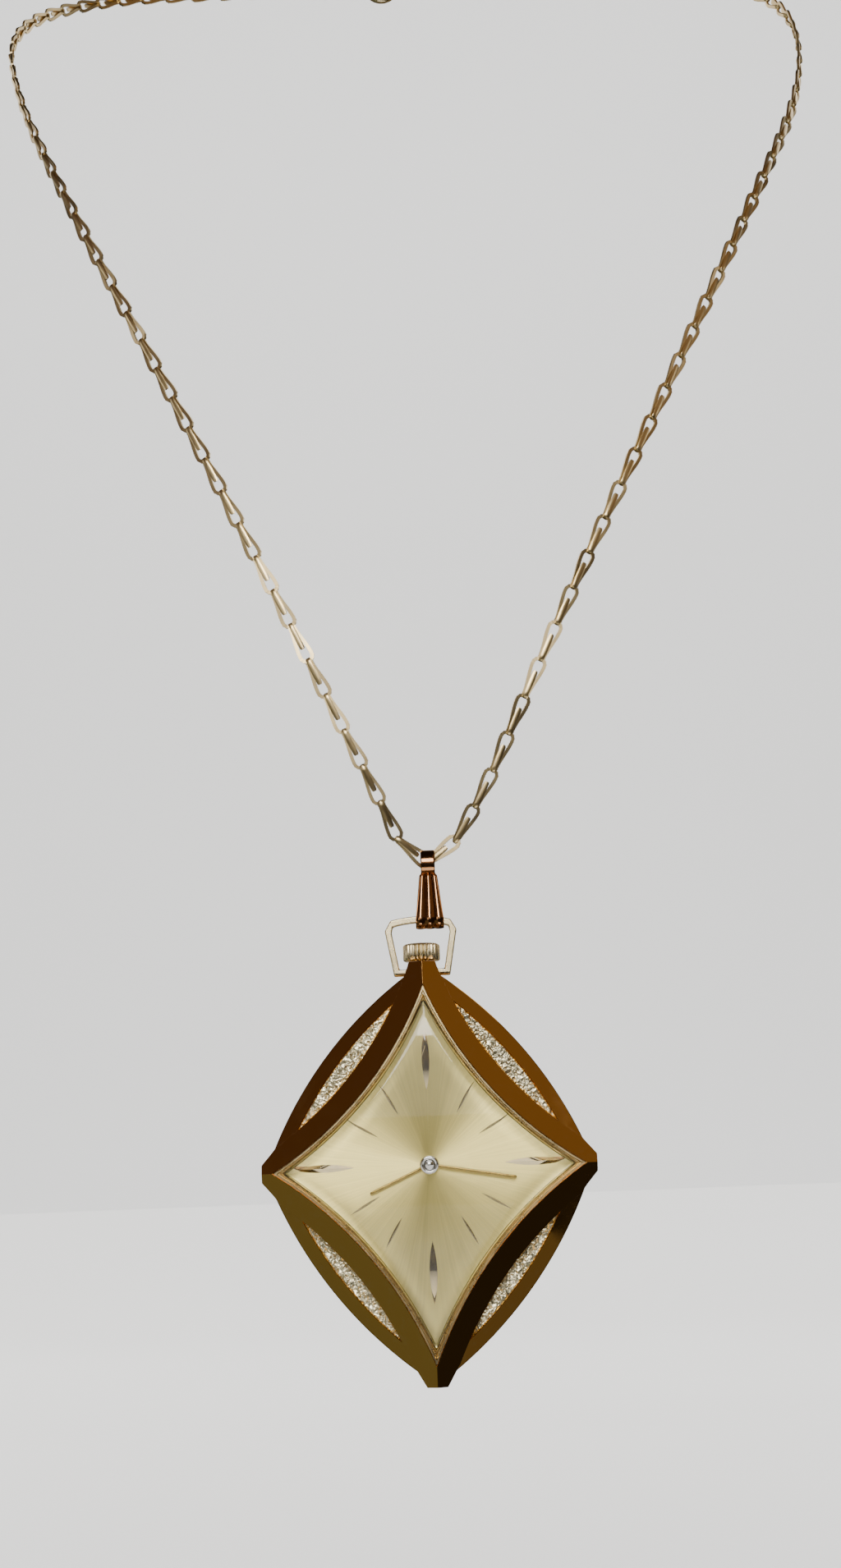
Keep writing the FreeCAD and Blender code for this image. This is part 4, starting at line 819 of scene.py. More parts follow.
def make_lip(case, material):
    """The worn ring that holds the crystal: a flat, a groove and a bead."""
    profile = [
        (0.02, 0.05), (0.02, -1.18), (0.08, -1.25), (0.26, -1.25), (0.33, -1.12), (0.37, -0.92),
        (0.44, -0.92), (0.50, -1.06), (0.58, -1.12), (0.68, -1.06), (0.76, -0.85), (0.79, 0.05),
    ]
    scale = case.lip_width / LIP_DRAWN
    loops = [at_depth(opening_loop(case, a * MM * scale), b * MM) for a, b in profile]
    piece = piece_from("crystal_ring_worn", *loft(loops, ring=True), smooth=40)
    finish(piece, material, "case", "pale_gold", "crystal_ring")


CRYSTAL_WALL, CRYSTAL_SKIRT = 0.8 * MM, 0.2 * MM
CRYSTAL_SEAT, CRYSTAL_BACK = 0.1 * MM, 0.45 * MM          # depths of the flange's faces
DOME_EDGE = (0.12 * MM, 0.08 * MM)                         # the round at the dome's edge
DOME_SHARES = (0.02, 0.3, 0.55, 0.75, 0.9)                 # loops from the middle outwards


def make_crystal(case, material):
    """A thin clear dome with a straight skirt and a flange."""
    inside = case.lip_width + FIT
    skirt = inside + CRYSTAL_SKIRT

    def dome(offset, front, share):
        outline = opening_loop(case, offset)
        points = []
        for x, z in outline:
            x, z = x * share, z * share
            points.append((x, front + (x * x + z * z) / (2 * case.dome_radius), z))
        return points

    outer = [dome(inside, case.crystal_front, share) for share in DOME_SHARES]
    outer.append(dome(inside + DOME_EDGE[0], case.crystal_front, 1.0))
    outer.append([(x, y + DOME_EDGE[1], z) for x, y, z in dome(inside, case.crystal_front, 1.0)])
    flange = [at_depth(opening_loop(case, a), b) for a, b in
              ((inside, CRYSTAL_SEAT), (FIT, CRYSTAL_SEAT), (FIT, CRYSTAL_BACK), (skirt, CRYSTAL_BACK))]
    under = case.crystal_front + CRYSTAL_WALL
    inner = [dome(skirt, under, share) for share in (1.0, *reversed(DOME_SHARES))]
    piece = piece_from("crystal_clear", *loft(outer + flange + inner), smooth=35)
    finish(piece, material, "case", "crystal", "crystal")


BACK_INSET = 1.7 * MM          # the back's edge, in from the case's
BACK_SLOPE = 0.5 * MM
SPIGOT_WALL, BACK_POCKET = 0.85 * MM, 0.4 * MM


def make_case_back(case, material):
    """The pressed-on back: a bevelled plate with a ring that enters the case."""
    rim = BACK_INSET
    front, back = BAND_HIGH.y, BACK_HIGH.y
    ring_radius = RING_RADIUS - FIT
    profile = [(rim, front), (rim, front + 0.3 * MM), (rim + 0.08 * MM, front + 0.42 * MM),
               (rim + 0.42 * MM, back - 0.06 * MM), (rim + BACK_SLOPE, back)]
    loops = [at_depth(band_loop(case, inset), depth) for inset, depth in profile]
    piece = piece_from("case_back_brushed", *loft(loops), smooth=20)
    pocket = ring_radius - SPIGOT_WALL
    cut(piece, turned("pocket", [(pocket, front - MM), (pocket, front + BACK_POCKET)]))
    low = BACK_LOW.y
    ring = turned("ring", [(ring_radius, low + FIT), (ring_radius, front + 0.1 * MM)])
    cut(ring, turned("ring_bore", [(pocket, low - MM), (pocket, back)]))
    cut(piece, ring, "UNION")
    shade(piece.data, 20)
    finish(piece, material, "case_back", "gold_back", "case_back")


# ------------------------------------------------------------------ dial, markers and hands
DIAL_HOLE = 0.9 * MM
DIAL_SHARES = (0.0, 0.15, 0.4, 0.7, 0.985, 1.0)            # loops from the hole outwards
DIAL_DROP = 0.03 * MM


def make_dial(case, material):
    outer = opening_loop(case, FIT)
    front, back = DIAL_FACE, local_box("dial")[1].y
    centre = [(DIAL_HOLE * math.cos(math.atan2(z, x)), DIAL_HOLE * math.sin(math.atan2(z, x)))
              for x, z in outer]
    loops = []
    for share in DIAL_SHARES:
        ring = [(a + (c - a) * share, b + (d - b) * share) for (a, b), (c, d) in zip(centre, outer)]
        loops.append(at_depth(ring, front if share < 1.0 else front + DIAL_DROP))
    loops.append(at_depth(outer, back))
    loops.append(at_depth(centre, back))
    piece = piece_from("dial_sunburst", *loft(loops, ring=True), smooth=20)
    finish(piece, material, "case", "dial_gold", "dial")


MARKER_STEPS = 28


def marquise(inner, outer, width, clockwise, slope):
    """A leaf-shaped marker with a roof ridge, along a radius of the dial."""
    half_length, half = (outer - inner) / 2, width / 2
    radius = (half_length ** 2 + half ** 2) / (2 * half)
    left, ridge, right = [], [], []
    for i in range(1, MARKER_STEPS):
        t = -half_length + 2 * half_length * i / MARKER_STEPS
        reach = math.sqrt(radius ** 2 - t * t) - (radius - half)
        r = (inner + outer) / 2 + t
        left.append((-reach, 0.0, r))
        ridge.append((0.0, -reach * math.tan(slope), r))
        right.append((reach, 0.0, r))
    points = [(0.0, 0.0, inner)] + left + ridge + right + [(0.0, 0.0, outer)]
    count = MARKER_STEPS - 1
    last = len(points) - 1
    faces = []
    for side in (0, 1):
        a, b = 1 + side * count, 1 + (side + 1) * count
        faces += [(a + i, a + i + 1, b + i + 1, b + i) for i in range(count - 1)]
        faces += [(0, a, b), (last, b + count - 1, a + count - 1)]
    outline = [0] + [1 + i for i in range(count)] + [last]
    outline += [1 + 2 * count + i for i in range(count - 1, -1, -1)]
    faces.append(tuple(outline))
    return clock_turned([(x, DIAL_FACE + y, z) for x, y, z in points], clockwise), faces


def make_markers(dial, bright, dark):
    large = [marquise(dial.large_inner, dial.large_outer, dial.large_width, 90.0 * i, dial.marker_slope)
             for i in range(4)]
    small = [marquise(dial.small_inner, dial.small_outer, dial.small_width, 30.0 * hour, dial.marker_slope)
             for hour in range(12) if hour % 3]
    for name, parts, node, material in (("large", large, "large_markers", bright),
                                        ("small", small, "small_markers", dark)):
        piece = piece_from(name + "_markers_faceted", *joined(*parts), smooth=15)
        finish(piece, material, "case", "marker_gold", node)


# Each hand's reach, depth and hub radius, and its direction in degrees clockwise from twelve.
HANDS = {
    "hour_hand": (8.0 * MM, 0.28 * MM, 1.08 * MM, 246.0),
    "minute_hand": (10.7 * MM, -0.08 * MM, 0.9 * MM, 100.0),
}
HAND_THICK = 0.14 * MM
# How far the blade's crowned front is drawn in, at each depth behind its highest part.
HAND_CROWN = ((0.0, HAND_THICK), (0.0, 0.06 * MM), (0.05 * MM, 0.015 * MM), (0.13 * MM, 0.0))


def make_hand(name, reach, front, hub, clockwise, width, material):
    """A slim baton with a crowned front, a round end and a hub."""
    steps = 10
    outline = []
    for i in range(steps + 1):
        a = math.pi * i / steps
        outline.append((width / 2 * math.cos(a), reach - width / 2 + width / 2 * math.sin(a)))
    outline += [(-width / 2, 0.0), (width / 2, 0.0)]
    loops = []
    for inset, depth in HAND_CROWN:
        share = 1 - inset / (width / 2)
        loops.append([(x * share, front + depth, z if z < MM else z - inset * (z > reach - width))
                      for x, z in outline])
    blade = loft(loops)
    hub_edge = [(hub - 0.04 * MM, front + 0.02 * MM), (hub, front + 0.05 * MM), (hub, front + HAND_THICK)]
    points, faces = joined(blade, loft(rings(hub_edge, 40)))
    piece = piece_from(name + "_polished", clock_turned(points, clockwise), faces, smooth=35)
    finish(piece, material, name, "hand_gold", name)


def make_cap(material):
    """The steel collar and domed button over the hands."""
    front = local_box("hand_cap")[0].y
    outer, button = 1.18 * MM, 0.6 * MM
    collar = []
    for i in range(13):
        a = math.pi * i / 12
        middle, half = (outer + button) / 2, (outer - button) / 2 - 0.015 * MM
        collar.append((middle + half * math.cos(a), front + (0.42 - 0.30 * math.sin(a)) * MM))
    dome = [(button * math.sin(math.radians(a)), front + button * 0.45 * (1 - math.cos(math.radians(a))))
            for a in (2, 15, 30, 45, 60, 75, 90)] + [(button, front + 0.44 * MM)]
    points, faces = joined(loft(rings(collar, 48), ring=True), loft(rings(dome, 48)))
    piece = piece_from("hand_cap_turned", points, faces, smooth=40)
    finish(piece, material, "minute_hand", "steel", "hand_cap")


# ------------------------------------------------------------------ crown, bow and bail
CROWN_FLUTES = 28
CROWN_GROOVE = 0.17 * MM


def make_crown(material):
    """A fluted winding crown with a softly domed top."""
    low, high = local_box("crown")
    radius = high.x
    foot, top = low.z, high.z - 0.15 * MM
    flutes, steps = CROWN_FLUTES, 8
    # Share of the radius, height, and whether the flutes cut in there.
    rows = [(0.35, foot, 0), (0.80, foot, 0), (0.87, foot + 0.02 * MM, 0), (0.97, foot + 0.14 * MM, 1),
            (1.0, foot + 0.26 * MM, 1), (1.0, top - 0.28 * MM, 1), (0.97, top - 0.14 * MM, 1),
            (0.88, top, 0), (0.78, top + 0.05 * MM, 0), (0.45, top + 0.12 * MM, 0),
            (0.02, top + 0.15 * MM, 0)]
    loops = []
    for share, z, fluted in rows:
        loop = []
        for i in range(flutes * steps):
            a = 2 * math.pi * i / (flutes * steps)
            groove = 0.5 - 0.5 * math.cos(a * flutes)
            r = radius * share - fluted * CROWN_GROOVE * groove ** 1.6
            loop.append((r * math.cos(a), STEM_DEPTH + r * math.sin(a), z))
        loops.append(loop)
    piece = piece_from("crown_fluted", *loft(loops), smooth=32)
    finish(piece, material, "crown", "pale_gold", "crown")


BOW_ROUND = 0.17 * MM
BOW_FLARE, BOW_ARCH, BOW_GAP = MM, 0.45 * MM, 0.06 * MM
BOW_SHOULDER_DROP, BOW_SHOULDER_IN = 1.3 * MM, 0.75 * MM
BOW_INNER_DROP, BOW_INNER_IN, BOW_INNER_SHIFT = 0.25 * MM, 0.3 * MM, 0.2 * MM
BOW_SPARE = 0.1 * MM           # the cut under the feet runs past them by this


def make_bow(case, material):
    """A stirrup of square wire: feet turned in to the neck, flared sides and an arched top."""
    low, high = local_box("bow")
    wire = high.y - low.y
    half = wire / 2
    pivot = joint_place("case_swing")[1]
    shoulder = high.x
    foot_half = shoulder - BOW_FLARE
    top = high.z - BOW_ARCH
    shoulder_z = top - BOW_SHOULDER_DROP
    foot_low = pivot - half
    gap = case.neck_half + BOW_GAP
    corner = shoulder - BOW_SHOULDER_IN
    slope = (shoulder - foot_half) / (shoulder_z - foot_low)
    in_foot = foot_half - wire + slope * wire
    in_shoulder = shoulder - wire - slope * BOW_INNER_SHIFT

    def arch(reach, z, steps=16):
        shares = (1 - 2 * i / steps for i in range(steps + 1))
        return [(reach * share, z + BOW_ARCH * (1 - share ** 2)) for share in shares]

    outside = [(gap, foot_low), (foot_half, foot_low), (shoulder, shoulder_z)]
    inside = [(gap, foot_low + wire), (in_foot, foot_low + wire), (in_shoulder, shoulder_z - BOW_INNER_DROP)]
    outline = outside + arch(corner, top)
    outline += [(-x, z) for x, z in reversed(outside)]
    outline += [(-x, z) for x, z in inside + arch(corner - BOW_INNER_IN, top - wire)]
    outline += reversed(inside)
    piece = piece_from("bow_wire", *slab(outline, STEM_DEPTH - half, STEM_DEPTH + half), smooth=20)
    # The feet are rounded underneath, so that they clear the case as the bow swings.
    spare = half + BOW_SPARE
    angles = (math.pi * i / 16 for i in range(17))
    under = [(half * math.cos(a), pivot - half * math.sin(a)) for a in angles]
    under += [(-spare, pivot), (-spare, pivot - spare), (spare, pivot - spare), (spare, pivot)]
    points, faces = slab(under, -shoulder, shoulder)
    cut(piece, piece_from("under", [(y, x + STEM_DEPTH, z) for x, y, z in points], faces))
    eased(piece, BOW_ROUND)
    finish(piece, material, "bow", "pale_gold", "bow")


LEAF_STEPS, LEAF_COLUMNS = 26, 31
LEAF_DROP, LEAF_BLEND = 1.35 * MM, 0.25 * MM    # where the leaf starts below the loop
LEAF_EDGE, FLUTE_END = 0.05 * MM, 0.5 * MM
BAIL_SHEET = 0.3 * MM
BAIL_LOOP_WIDTH, BAIL_LEAF_WIDTH = 1.75 * MM, 2.2 * MM
BAIL_LOOP_ANGLE = 155          # degrees either side of the loop's top
FLUTE_DEPTH = 0.20 * MM


def make_bail(material):
    """A folded strip: a plain loop over the chain, a fluted leaf in front and a thin one behind."""
    middle, bar = joint_place("bow_swing")
    loop_z = joint_place("bail_swing")[1]
    low, high = local_box("bail")
    half = BAIL_SHEET / 2
    loop_radius = high.z - loop_z - half
    eye_radius = bar - low.z - half
    widest = high.x - low.x

    def bend(radius, height, start, stop, steps):
        angles = (math.radians(start + (stop - start) * i / steps) for i in range(steps + 1))
        return [(radius * math.sin(a), height + radius * math.cos(a)) for a in angles]

    # The strip's middle line as (depth, height): over the chain, down the front, round the bow's bar and up.
    line = bend(loop_radius, loop_z, BAIL_LOOP_ANGLE, -BAIL_LOOP_ANGLE, 32)
    line += between(line[-1], (-eye_radius, bar), LEAF_STEPS)
    line += bend(eye_radius, bar, 270, 90, 16)
    line += between(line[-1], line[0], LEAF_STEPS)
    leaf_top = loop_z - LEAF_DROP
    outer, inner = [], []
    for i, (y, z) in enumerate(line):
        ny, nz = square_to(line, i, i - 1, (i + 1) % len(line))
        if ny * y + nz * (z - (loop_z if z > (loop_z + bar) / 2 else bar)) < 0:
            ny, nz = -ny, -nz
        in_leaf = min(max((leaf_top - z) / LEAF_BLEND, 0.0), 1.0)
        down = min(max((leaf_top - z) / (leaf_top - bar), 0.0), 1.0)
        spread = BAIL_LEAF_WIDTH - BAIL_LOOP_WIDTH + down * (widest - BAIL_LEAF_WIDTH)
        width = BAIL_LOOP_WIDTH + in_leaf * spread
        fluted = in_leaf * (y < BAIL_SHEET) * min(1.0, (z - low.z) / FLUTE_END)
        row_out, row_in = [], []
        for j in range(LEAF_COLUMNS):
            u = -1 + 2 * j / (LEAF_COLUMNS - 1)
            flute = abs(math.cos(1.5 * math.pi * u))
            rise = half + fluted * FLUTE_DEPTH * (flute - 0.5) - LEAF_EDGE * abs(u) ** 12
            x = middle + u * width / 2
            row_out.append((x, STEM_DEPTH + y + ny * rise, z + nz * rise))
            row_in.append((x, STEM_DEPTH + y - ny * half, z - nz * half))
        outer.append(row_out)
        inner.append(row_in)
    sections = [a + b[::-1] for a, b in zip(outer, inner)]
    piece = piece_from("bail_fluted", *loft(sections, ring=True), smooth=38)
    finish(piece, material, "bail", "gold_frame", "bail")


# ------------------------------------------------------------------ chain and clasp
NAPE = Vector((0.0, 96.0, 201.5)) * MM     # the clasp, measured from the hands' axis
# The chain's route: from the clasp down the wearer's right side, round the bail and up again.
ROUTE = [
    (-4.6, 95.7, 201.2),
    (-25.0, 93.0, 199.4),
    (-46.5, 79.0, 192.5),
    (-58.5, 55.5, 177.0),
    (-54.3, 33.4, 155.5),
    (-43.6, 14.0, 129.5),
    (-29.3, 3.2, 99.0),
    (-17.0, -0.2, 72.5),
    (-9.5, 0.0, 56.0),
    (-4.9, 1.2, 46.3),
    (-2.9, 2.3, 41.5),
    (-1.75, 3.0, 39.1),
    (-0.3, 3.5, 37.4),
    (2.7, 3.5, 37.4),
    (4.25, 3.1, 39.1),
    (5.6, 2.4, 41.3),
    (9.0, 1.0, 46.6),
    (13.3, -0.6, 55.8),
    (21.2, -2.0, 71.9),
    (34.1, 0.9, 97.2),
    (48.4, 11.5, 126.5),
    (60.0, 31.5, 152.0),
    (62.5, 56.5, 177.0),
    (49.0, 80.0, 193.0),
    (25.5, 93.0, 199.4),
    (3.9, 95.7, 201.2),
]


def chain_line():
    """Points along the smooth curve that the chain follows."""
    curve = bpy.data.curves.new("chain_route", "CURVE")
    curve.dimensions = "3D"
    curve.resolution_u = 16
    spline = curve.splines.new("NURBS")
    spline.points.add(len(ROUTE) - 1)
    for point, place in zip(spline.points, ROUTE):
        point.co = (*(Vector(place) * MM - NAPE), 1.0)
    spline.order_u = 3
    spline.use_endpoint_u = True
    holder = shown("chain_route", curve)
    points = [vertex.co.copy() for vertex in evaluated(holder).vertices]
    bpy.data.objects.remove(holder)
    return points


LINK_BAR = (0.56 * MM, 0.46 * MM)    # width and depth of a link's bar
LINK_NARROW = 0.27 * MM        # half the width at a link's narrow end
LINK_SLACK = 0.02 * MM
RIDGE = 0.74                   # thickness between two ridges, as a share
BAR_CORNER = 1.3               # the bar's corners, beyond half its width
# The tongue's middle line, as (height, depth) in mm, and how it narrows at its end.
TONGUE = [(0.06, 0.36), (-0.20, 0.32), (-0.36, 0.14), (-0.38, -0.08), (-0.28, -0.28), (-0.05, -0.37),
          (0.35, -0.37), (1.2, -0.31), (2.2, -0.22), (3.0, -0.15), (3.25, -0.13)]
TONGUE_END = 0.7


def link_mesh(chain, material):
    """One link, along +Z from its narrow end, with its face to -Y: a ridged loop and a folded tongue."""
    bar_wide, bar_deep = LINK_BAR
    wide = chain.width / 2 - bar_wide / 2
    turn_z = chain.pitch - wide - LINK_SLACK
    side, bend = 24, 12
    path = []
    for i in range(side):
        t = i / side
        swell = t * t * (3 - 2 * t)
        path.append((LINK_NARROW + (wide - LINK_NARROW) * swell, (turn_z + LINK_SLACK) * t - LINK_SLACK))
    for i in range(bend + 1):
        a = math.pi * i / bend
        path.append((wide * math.cos(a), turn_z + wide * math.sin(a)))
    path += [(-x, z) for x, z in reversed(path[:side])]
    for i in range(1, 4):
        a = math.pi * i / 4
        path.append((-LINK_NARROW * math.cos(a), -LINK_SLACK - LINK_NARROW * 0.8 * math.sin(a)))
    corners = [(bar_wide / 2 * u, bar_deep / 2 * v) for u, v in circle(BAR_CORNER, 4, 0.5)]
    loops = []
    for i, (x, z) in enumerate(path):
        nx, nz = square_to(path, i, i - 1, (i + 1) % len(path))
        ridge = 1.0 if i % 2 else RIDGE
        loops.append([(x + nx * across * ridge, deep * ridge, z + nz * across * ridge)
                      for across, deep in corners])
    strip = []
    last = len(TONGUE) - 1
    for i, (z, y) in enumerate(TONGUE):
        nz, ny = square_to(TONGUE, i, max(i - 1, 0), min(i + 1, last))
        half = (0.28 + 0.05 * min(max(z, 0.0), 1.2)) * (TONGUE_END if i == last else 1.0)
        section = [(-half, 0.07), (-half * 0.7, 0.11), (0.0, 0.125), (half * 0.7, 0.11), (half, 0.07),
                   (half, -0.07), (-half, -0.07)]
        strip.append([(u * MM, (y + ny * v) * MM, (z + nz * v) * MM) for u, v in section])
    mesh = mesh_from("link", *joined(loft(loops, ring=True), loft(strip)), 40)
    mesh.materials.append(material)
    return mesh


NECK_MIDDLE = (0.0, -48.0 * MM, 0.0)
FACE_TURN = (-0.6, -1.0, 0.0)  # turns a link's back towards the neck


def link_tree(link, material):
    """Geometry nodes that set links along two strands, each link from one joint to the next."""
    tree = bpy.data.node_groups.new("Links along the chain", "GeometryNodeTree")
    face = tree.interface
    face.new_socket("Strands", in_out="INPUT", socket_type="NodeSocketGeometry")
    sockets = [face.new_socket(label, in_out="INPUT", socket_type=kind).identifier for label, kind in
               (("Pitch", "NodeSocketFloat"), ("Twist", "NodeSocketFloat"), ("Seed", "NodeSocketInt"))]
    face.new_socket("Links", in_out="OUTPUT", socket_type="NodeSocketGeometry")

    def step(kind, inputs=None, output=0, **settings):
        return node(tree, kind, inputs, **settings).outputs[output]

    def vectors(operation, first, second):
        return step("ShaderNodeVectorMath", {0: first, 1: second}, operation=operation)

    given = node(tree, "NodeGroupInput").outputs
    line = step("GeometryNodeMeshToCurve", {"Mesh": given["Strands"]})
    spaced = step("GeometryNodeResampleCurve", {"Curve": line, "Length": given["Pitch"]}, mode="LENGTH")
    here = step("GeometryNodeInputPosition")
    following = maths(tree, "ADD", step("GeometryNodeInputIndex"), 1.0)
    there = step("GeometryNodeFieldAtIndex", {"Index": following, "Value": here},
                 data_type="FLOAT_VECTOR", domain="POINT")
    inward = vectors("MULTIPLY", vectors("SUBTRACT", here, NECK_MIDDLE), FACE_TURN)
    facing = step("FunctionNodeAxesToRotation", {0: vectors("SUBTRACT", there, here), 1: inward},
                  primary_axis="Z", secondary_axis="Y")
    least = maths(tree, "MULTIPLY", given["Twist"], -1.0)
    loose = step("FunctionNodeRandomValue", {2: least, 3: given["Twist"], "Seed": given["Seed"]}, 1,
                 data_type="FLOAT")
    last = step("GeometryNodeCurveEndpointSelection", {"Start Size": 0, "End Size": 1})
    kept = step("FunctionNodeBooleanMath", {0: last}, operation="NOT")
    shape = step("GeometryNodeObjectInfo", {"Object": link}, "Geometry")
    placed = step("GeometryNodeInstanceOnPoints",
                  {"Points": spaced, "Selection": kept, "Instance": shape, "Rotation": facing})
    rolled = step("GeometryNodeRotateInstances",
                  {"Instances": placed, "Rotation": step("ShaderNodeCombineXYZ", {"Z": loose})})
    real = step("GeometryNodeRealizeInstances", {"Geometry": rolled})
    coated = step("GeometryNodeSetMaterial", {"Geometry": real, "Material": material})
    node(tree, "NodeGroupOutput", {0: coated})
    return tree, sockets


LEAST_FACES = 20000


def make_chain(chain, material):
    """A ridged loop for every link, set along the route from each side of the clasp to the bail."""
    line = chain_line()
    bail = Vector(JOINTS["bail_swing"]["pos_m"])
    low = min(range(len(line)), key=lambda i: (line[i] - bail).length)
    strands = bpy.data.meshes.new("strands")
    points = line[:low + 1] + line[low:]
    edges = [(i, i + 1) for i in range(len(points) - 1) if i != low]
    strands.from_pydata(points, edges, [])
    piece = shown("chain_links", strands)
    link = shown("link", link_mesh(chain, material))
    rows = piece.modifiers.new("links", "NODES")
    rows.node_group, sockets = link_tree(link, material)
    for socket, value in zip(sockets, (chain.pitch, chain.twist, chain.seed)):
        rows[socket] = value
    applied(piece)
    bpy.data.objects.remove(link)
    if len(piece.data.polygons) < LEAST_FACES:
        raise RuntimeError("the chain has too few links")
    finish(piece, material, "necklace", "pale_gold", "chain")
    return piece, line


def make_end_ring(material):
    """The small ring on the chain's end, caught by the clasp at the nape."""
    low, high = local_box("end_ring")
    middle = (low + high) / 2
    minor = (high.z - low.z) / 2
    major = (high.x - low.x) / 2 - minor
    loops = []
    for x, y in circle(1.0, 64):
        out = Vector((x, y, 0.0))
        loops.append([tuple(middle + out * (major + across) + Vector((0.0, 0.0, up)))
                      for across, up in circle(minor, 16)])
    piece = piece_from("end_ring_round", *loft(loops, ring=True))
    finish(piece, material, "necklace", "pale_gold", "end_ring")
    return piece


def coat(finish_name, names):
    """Give CAD pieces a finish."""
    for name in names:
        slots = frame["nodes"][name].data.materials
        slots.clear()
        slots.append(FINISHES[finish_name])


# ------------------------------------------------------------------ stage
def aimed(name, kind, place, target, **settings):
    """A lamp at a place, turned towards a target."""
    data = bpy.data.lights.new(name, kind)
    for label, value in settings.items():
        setattr(data, label, value)
    lamp = shown(name, data)
    lamp.location = place
    lamp.rotation_mode = "QUATERNION"
    lamp.rotation_quaternion = (target - place).to_track_quat("-Z", "Y")
    lamp.visible_camera = False
    return lamp


def around(azimuth, elevation, distance):
    """A place seen from the dial: azimuth 0 is straight in front, positive to the right."""
    a, e = math.radians(azimuth), math.radians(elevation)
    return ORIGIN + Vector((math.sin(a) * math.cos(e), -math.cos(a) * math.cos(e), math.sin(e))) * distance


def softbox(name, azimuth, elevation, distance, width, height, radiance, tint):
    """A flat soft lamp facing the dial; radiance is its brightness as seen in a mirror."""
    return aimed(name, "AREA", around(azimuth, elevation, distance), ORIGIN, shape="RECTANGLE",
                 size=width, size_y=height, color=tint, energy=radiance * math.pi * width * height)


LENS, SENSOR = 56.5, 36.0
TILT, LEAN = math.radians(8.8), math.radians(2.2)
EYE = Vector((0.69, -303.3, 0.0)) * MM    # measured from the hands' axis


def make_camera():
    """In front of the watch at the height of the hands, tilted up a little and leaning slightly."""
    data = bpy.data.cameras.new("Camera")
    data.lens, data.sensor_width = LENS, SENSOR
    data.clip_start, data.clip_end = 0.01, 10.0
    ahead = Vector((0.0, math.cos(TILT), math.sin(TILT)))
    level = Vector((1.0, 0.0, 0.0))
    above = level.cross(ahead)
    right = math.cos(LEAN) * level - math.sin(LEAN) * above
    up = math.cos(LEAN) * above + math.sin(LEAN) * level
    camera = shown("Camera", data)
    turn = Matrix((right, up, -ahead)).transposed().to_4x4()
    camera.matrix_world = Matrix.Translation(ORIGIN + EYE) @ turn
    bpy.context.scene.camera = camera


SEEN_WORLD = (0.86, 0.87, 0.88, 1.0)
MIRRORED_WORLD = (0.020, 0.017, 0.014, 1.0)


def make_world():
    """Pale for the eye; for reflections a dim warm room, as polished gold needs dark to show its shape."""
    world = bpy.data.worlds.new("Studio")
    bpy.context.scene.world = world
    world.use_nodes = True
    tree = world.node_tree
    seen = node(tree, "ShaderNodeBackground", {"Color": SEEN_WORLD, "Strength": 1.0})
    room = tree.nodes["Background"]
    room.inputs["Color"].default_value = MIRRORED_WORLD
    room.inputs["Strength"].default_value = 1.0
    path = node(tree, "ShaderNodeLightPath")
    mix = node(tree, "ShaderNodeMixShader", {0: path.outputs["Is Camera Ray"], 1: room.outputs[0],
                                             2: seen.outputs[0]})
    tree.links.new(mix.outputs[0], tree.nodes["World Output"].inputs["Surface"])


FLOOR_DROP = 0.05              # the floor's depth below the watch
STAGE_FRONT, STAGE_BACK, STAGE_HALF = -1.2, 1.3, 2.4
STAGE_BEND, STAGE_RISE = 0.5, 1.6


def make_backdrop(material):
    """A floor that curves up into a backdrop behind the watch."""
    drop = CAD_BOX[0][2] - FLOOR_DROP
    corner = STAGE_BACK - STAGE_BEND
    outline = [(STAGE_FRONT, drop), (corner, drop)]
    for degrees in range(6, 91, 6):
        a = math.radians(degrees)
        outline.append((corner + STAGE_BEND * math.sin(a), drop + STAGE_BEND * (1 - math.cos(a))))
    outline.append((STAGE_BACK, drop + STAGE_BEND + STAGE_RISE))
    points = [(x, y, z) for y, z in outline for x in (-STAGE_HALF, STAGE_HALF)]
    faces = [(2 * i, 2 * i + 1, 2 * i + 3, 2 * i + 2) for i in range(len(outline) - 1)]
    mesh = bpy.data.meshes.new("backdrop")
    mesh.from_pydata(points, [], faces)
    mesh.shade_smooth()
    mesh.materials.append(material)
    backdrop = shown("backdrop", mesh)
    backdrop.visible_glossy = False


# Tints of the soft lamps: white for light, the others for what the polished slopes mirror.
WHITE = (1.0, 0.97, 0.92)
AMBER = (1.0, 0.60, 0.28)
RUSSET = (1.0, 0.46, 0.26)
OLIVE = (0.92, 1.0, 0.62)
STRAW = (1.0, 0.85, 0.50)
# Azimuth and elevation in degrees, distance, width and height in metres, radiance, tint.
LAMPS = {
    "key": (-3, 25, 0.62, 0.24, 0.26, 10.0, WHITE),
    "fill": (0, 9, 0.64, 0.50, 0.09, 0.7, WHITE),
    "left_fill": (-32, 4, 0.8, 0.26, 0.20, 1.3, WHITE),
    "low_card": (0, -56, 0.7, 0.5, 0.34, 2.2, WHITE),
    "upper_right_card": (61, 41, 0.9, 1.0, 1.0, 0.17, AMBER),
    "upper_left_card": (-61, 41, 0.9, 1.0, 1.0, 0.05, RUSSET),
    "lower_left_card": (-61, -41, 0.9, 1.0, 1.0, 0.13, OLIVE),
    "lower_right_card": (84, -46, 0.9, 0.5, 0.5, 0.10, STRAW),
    "left_strip": (-78, 4, 0.8, 0.12, 0.7, 2.5, WHITE),
    "right_strip": (80, 4, 0.8, 0.12, 0.7, 1.8, WHITE),
    "back_card": (180, 12, 1.1, 1.5, 1.2, 0.7, WHITE),
    "back_left": (-140, 20, 1.0, 0.5, 0.7, 1.4, WHITE),
    "back_right": (140, 30, 1.0, 0.5, 0.7, 1.4, WHITE),
}
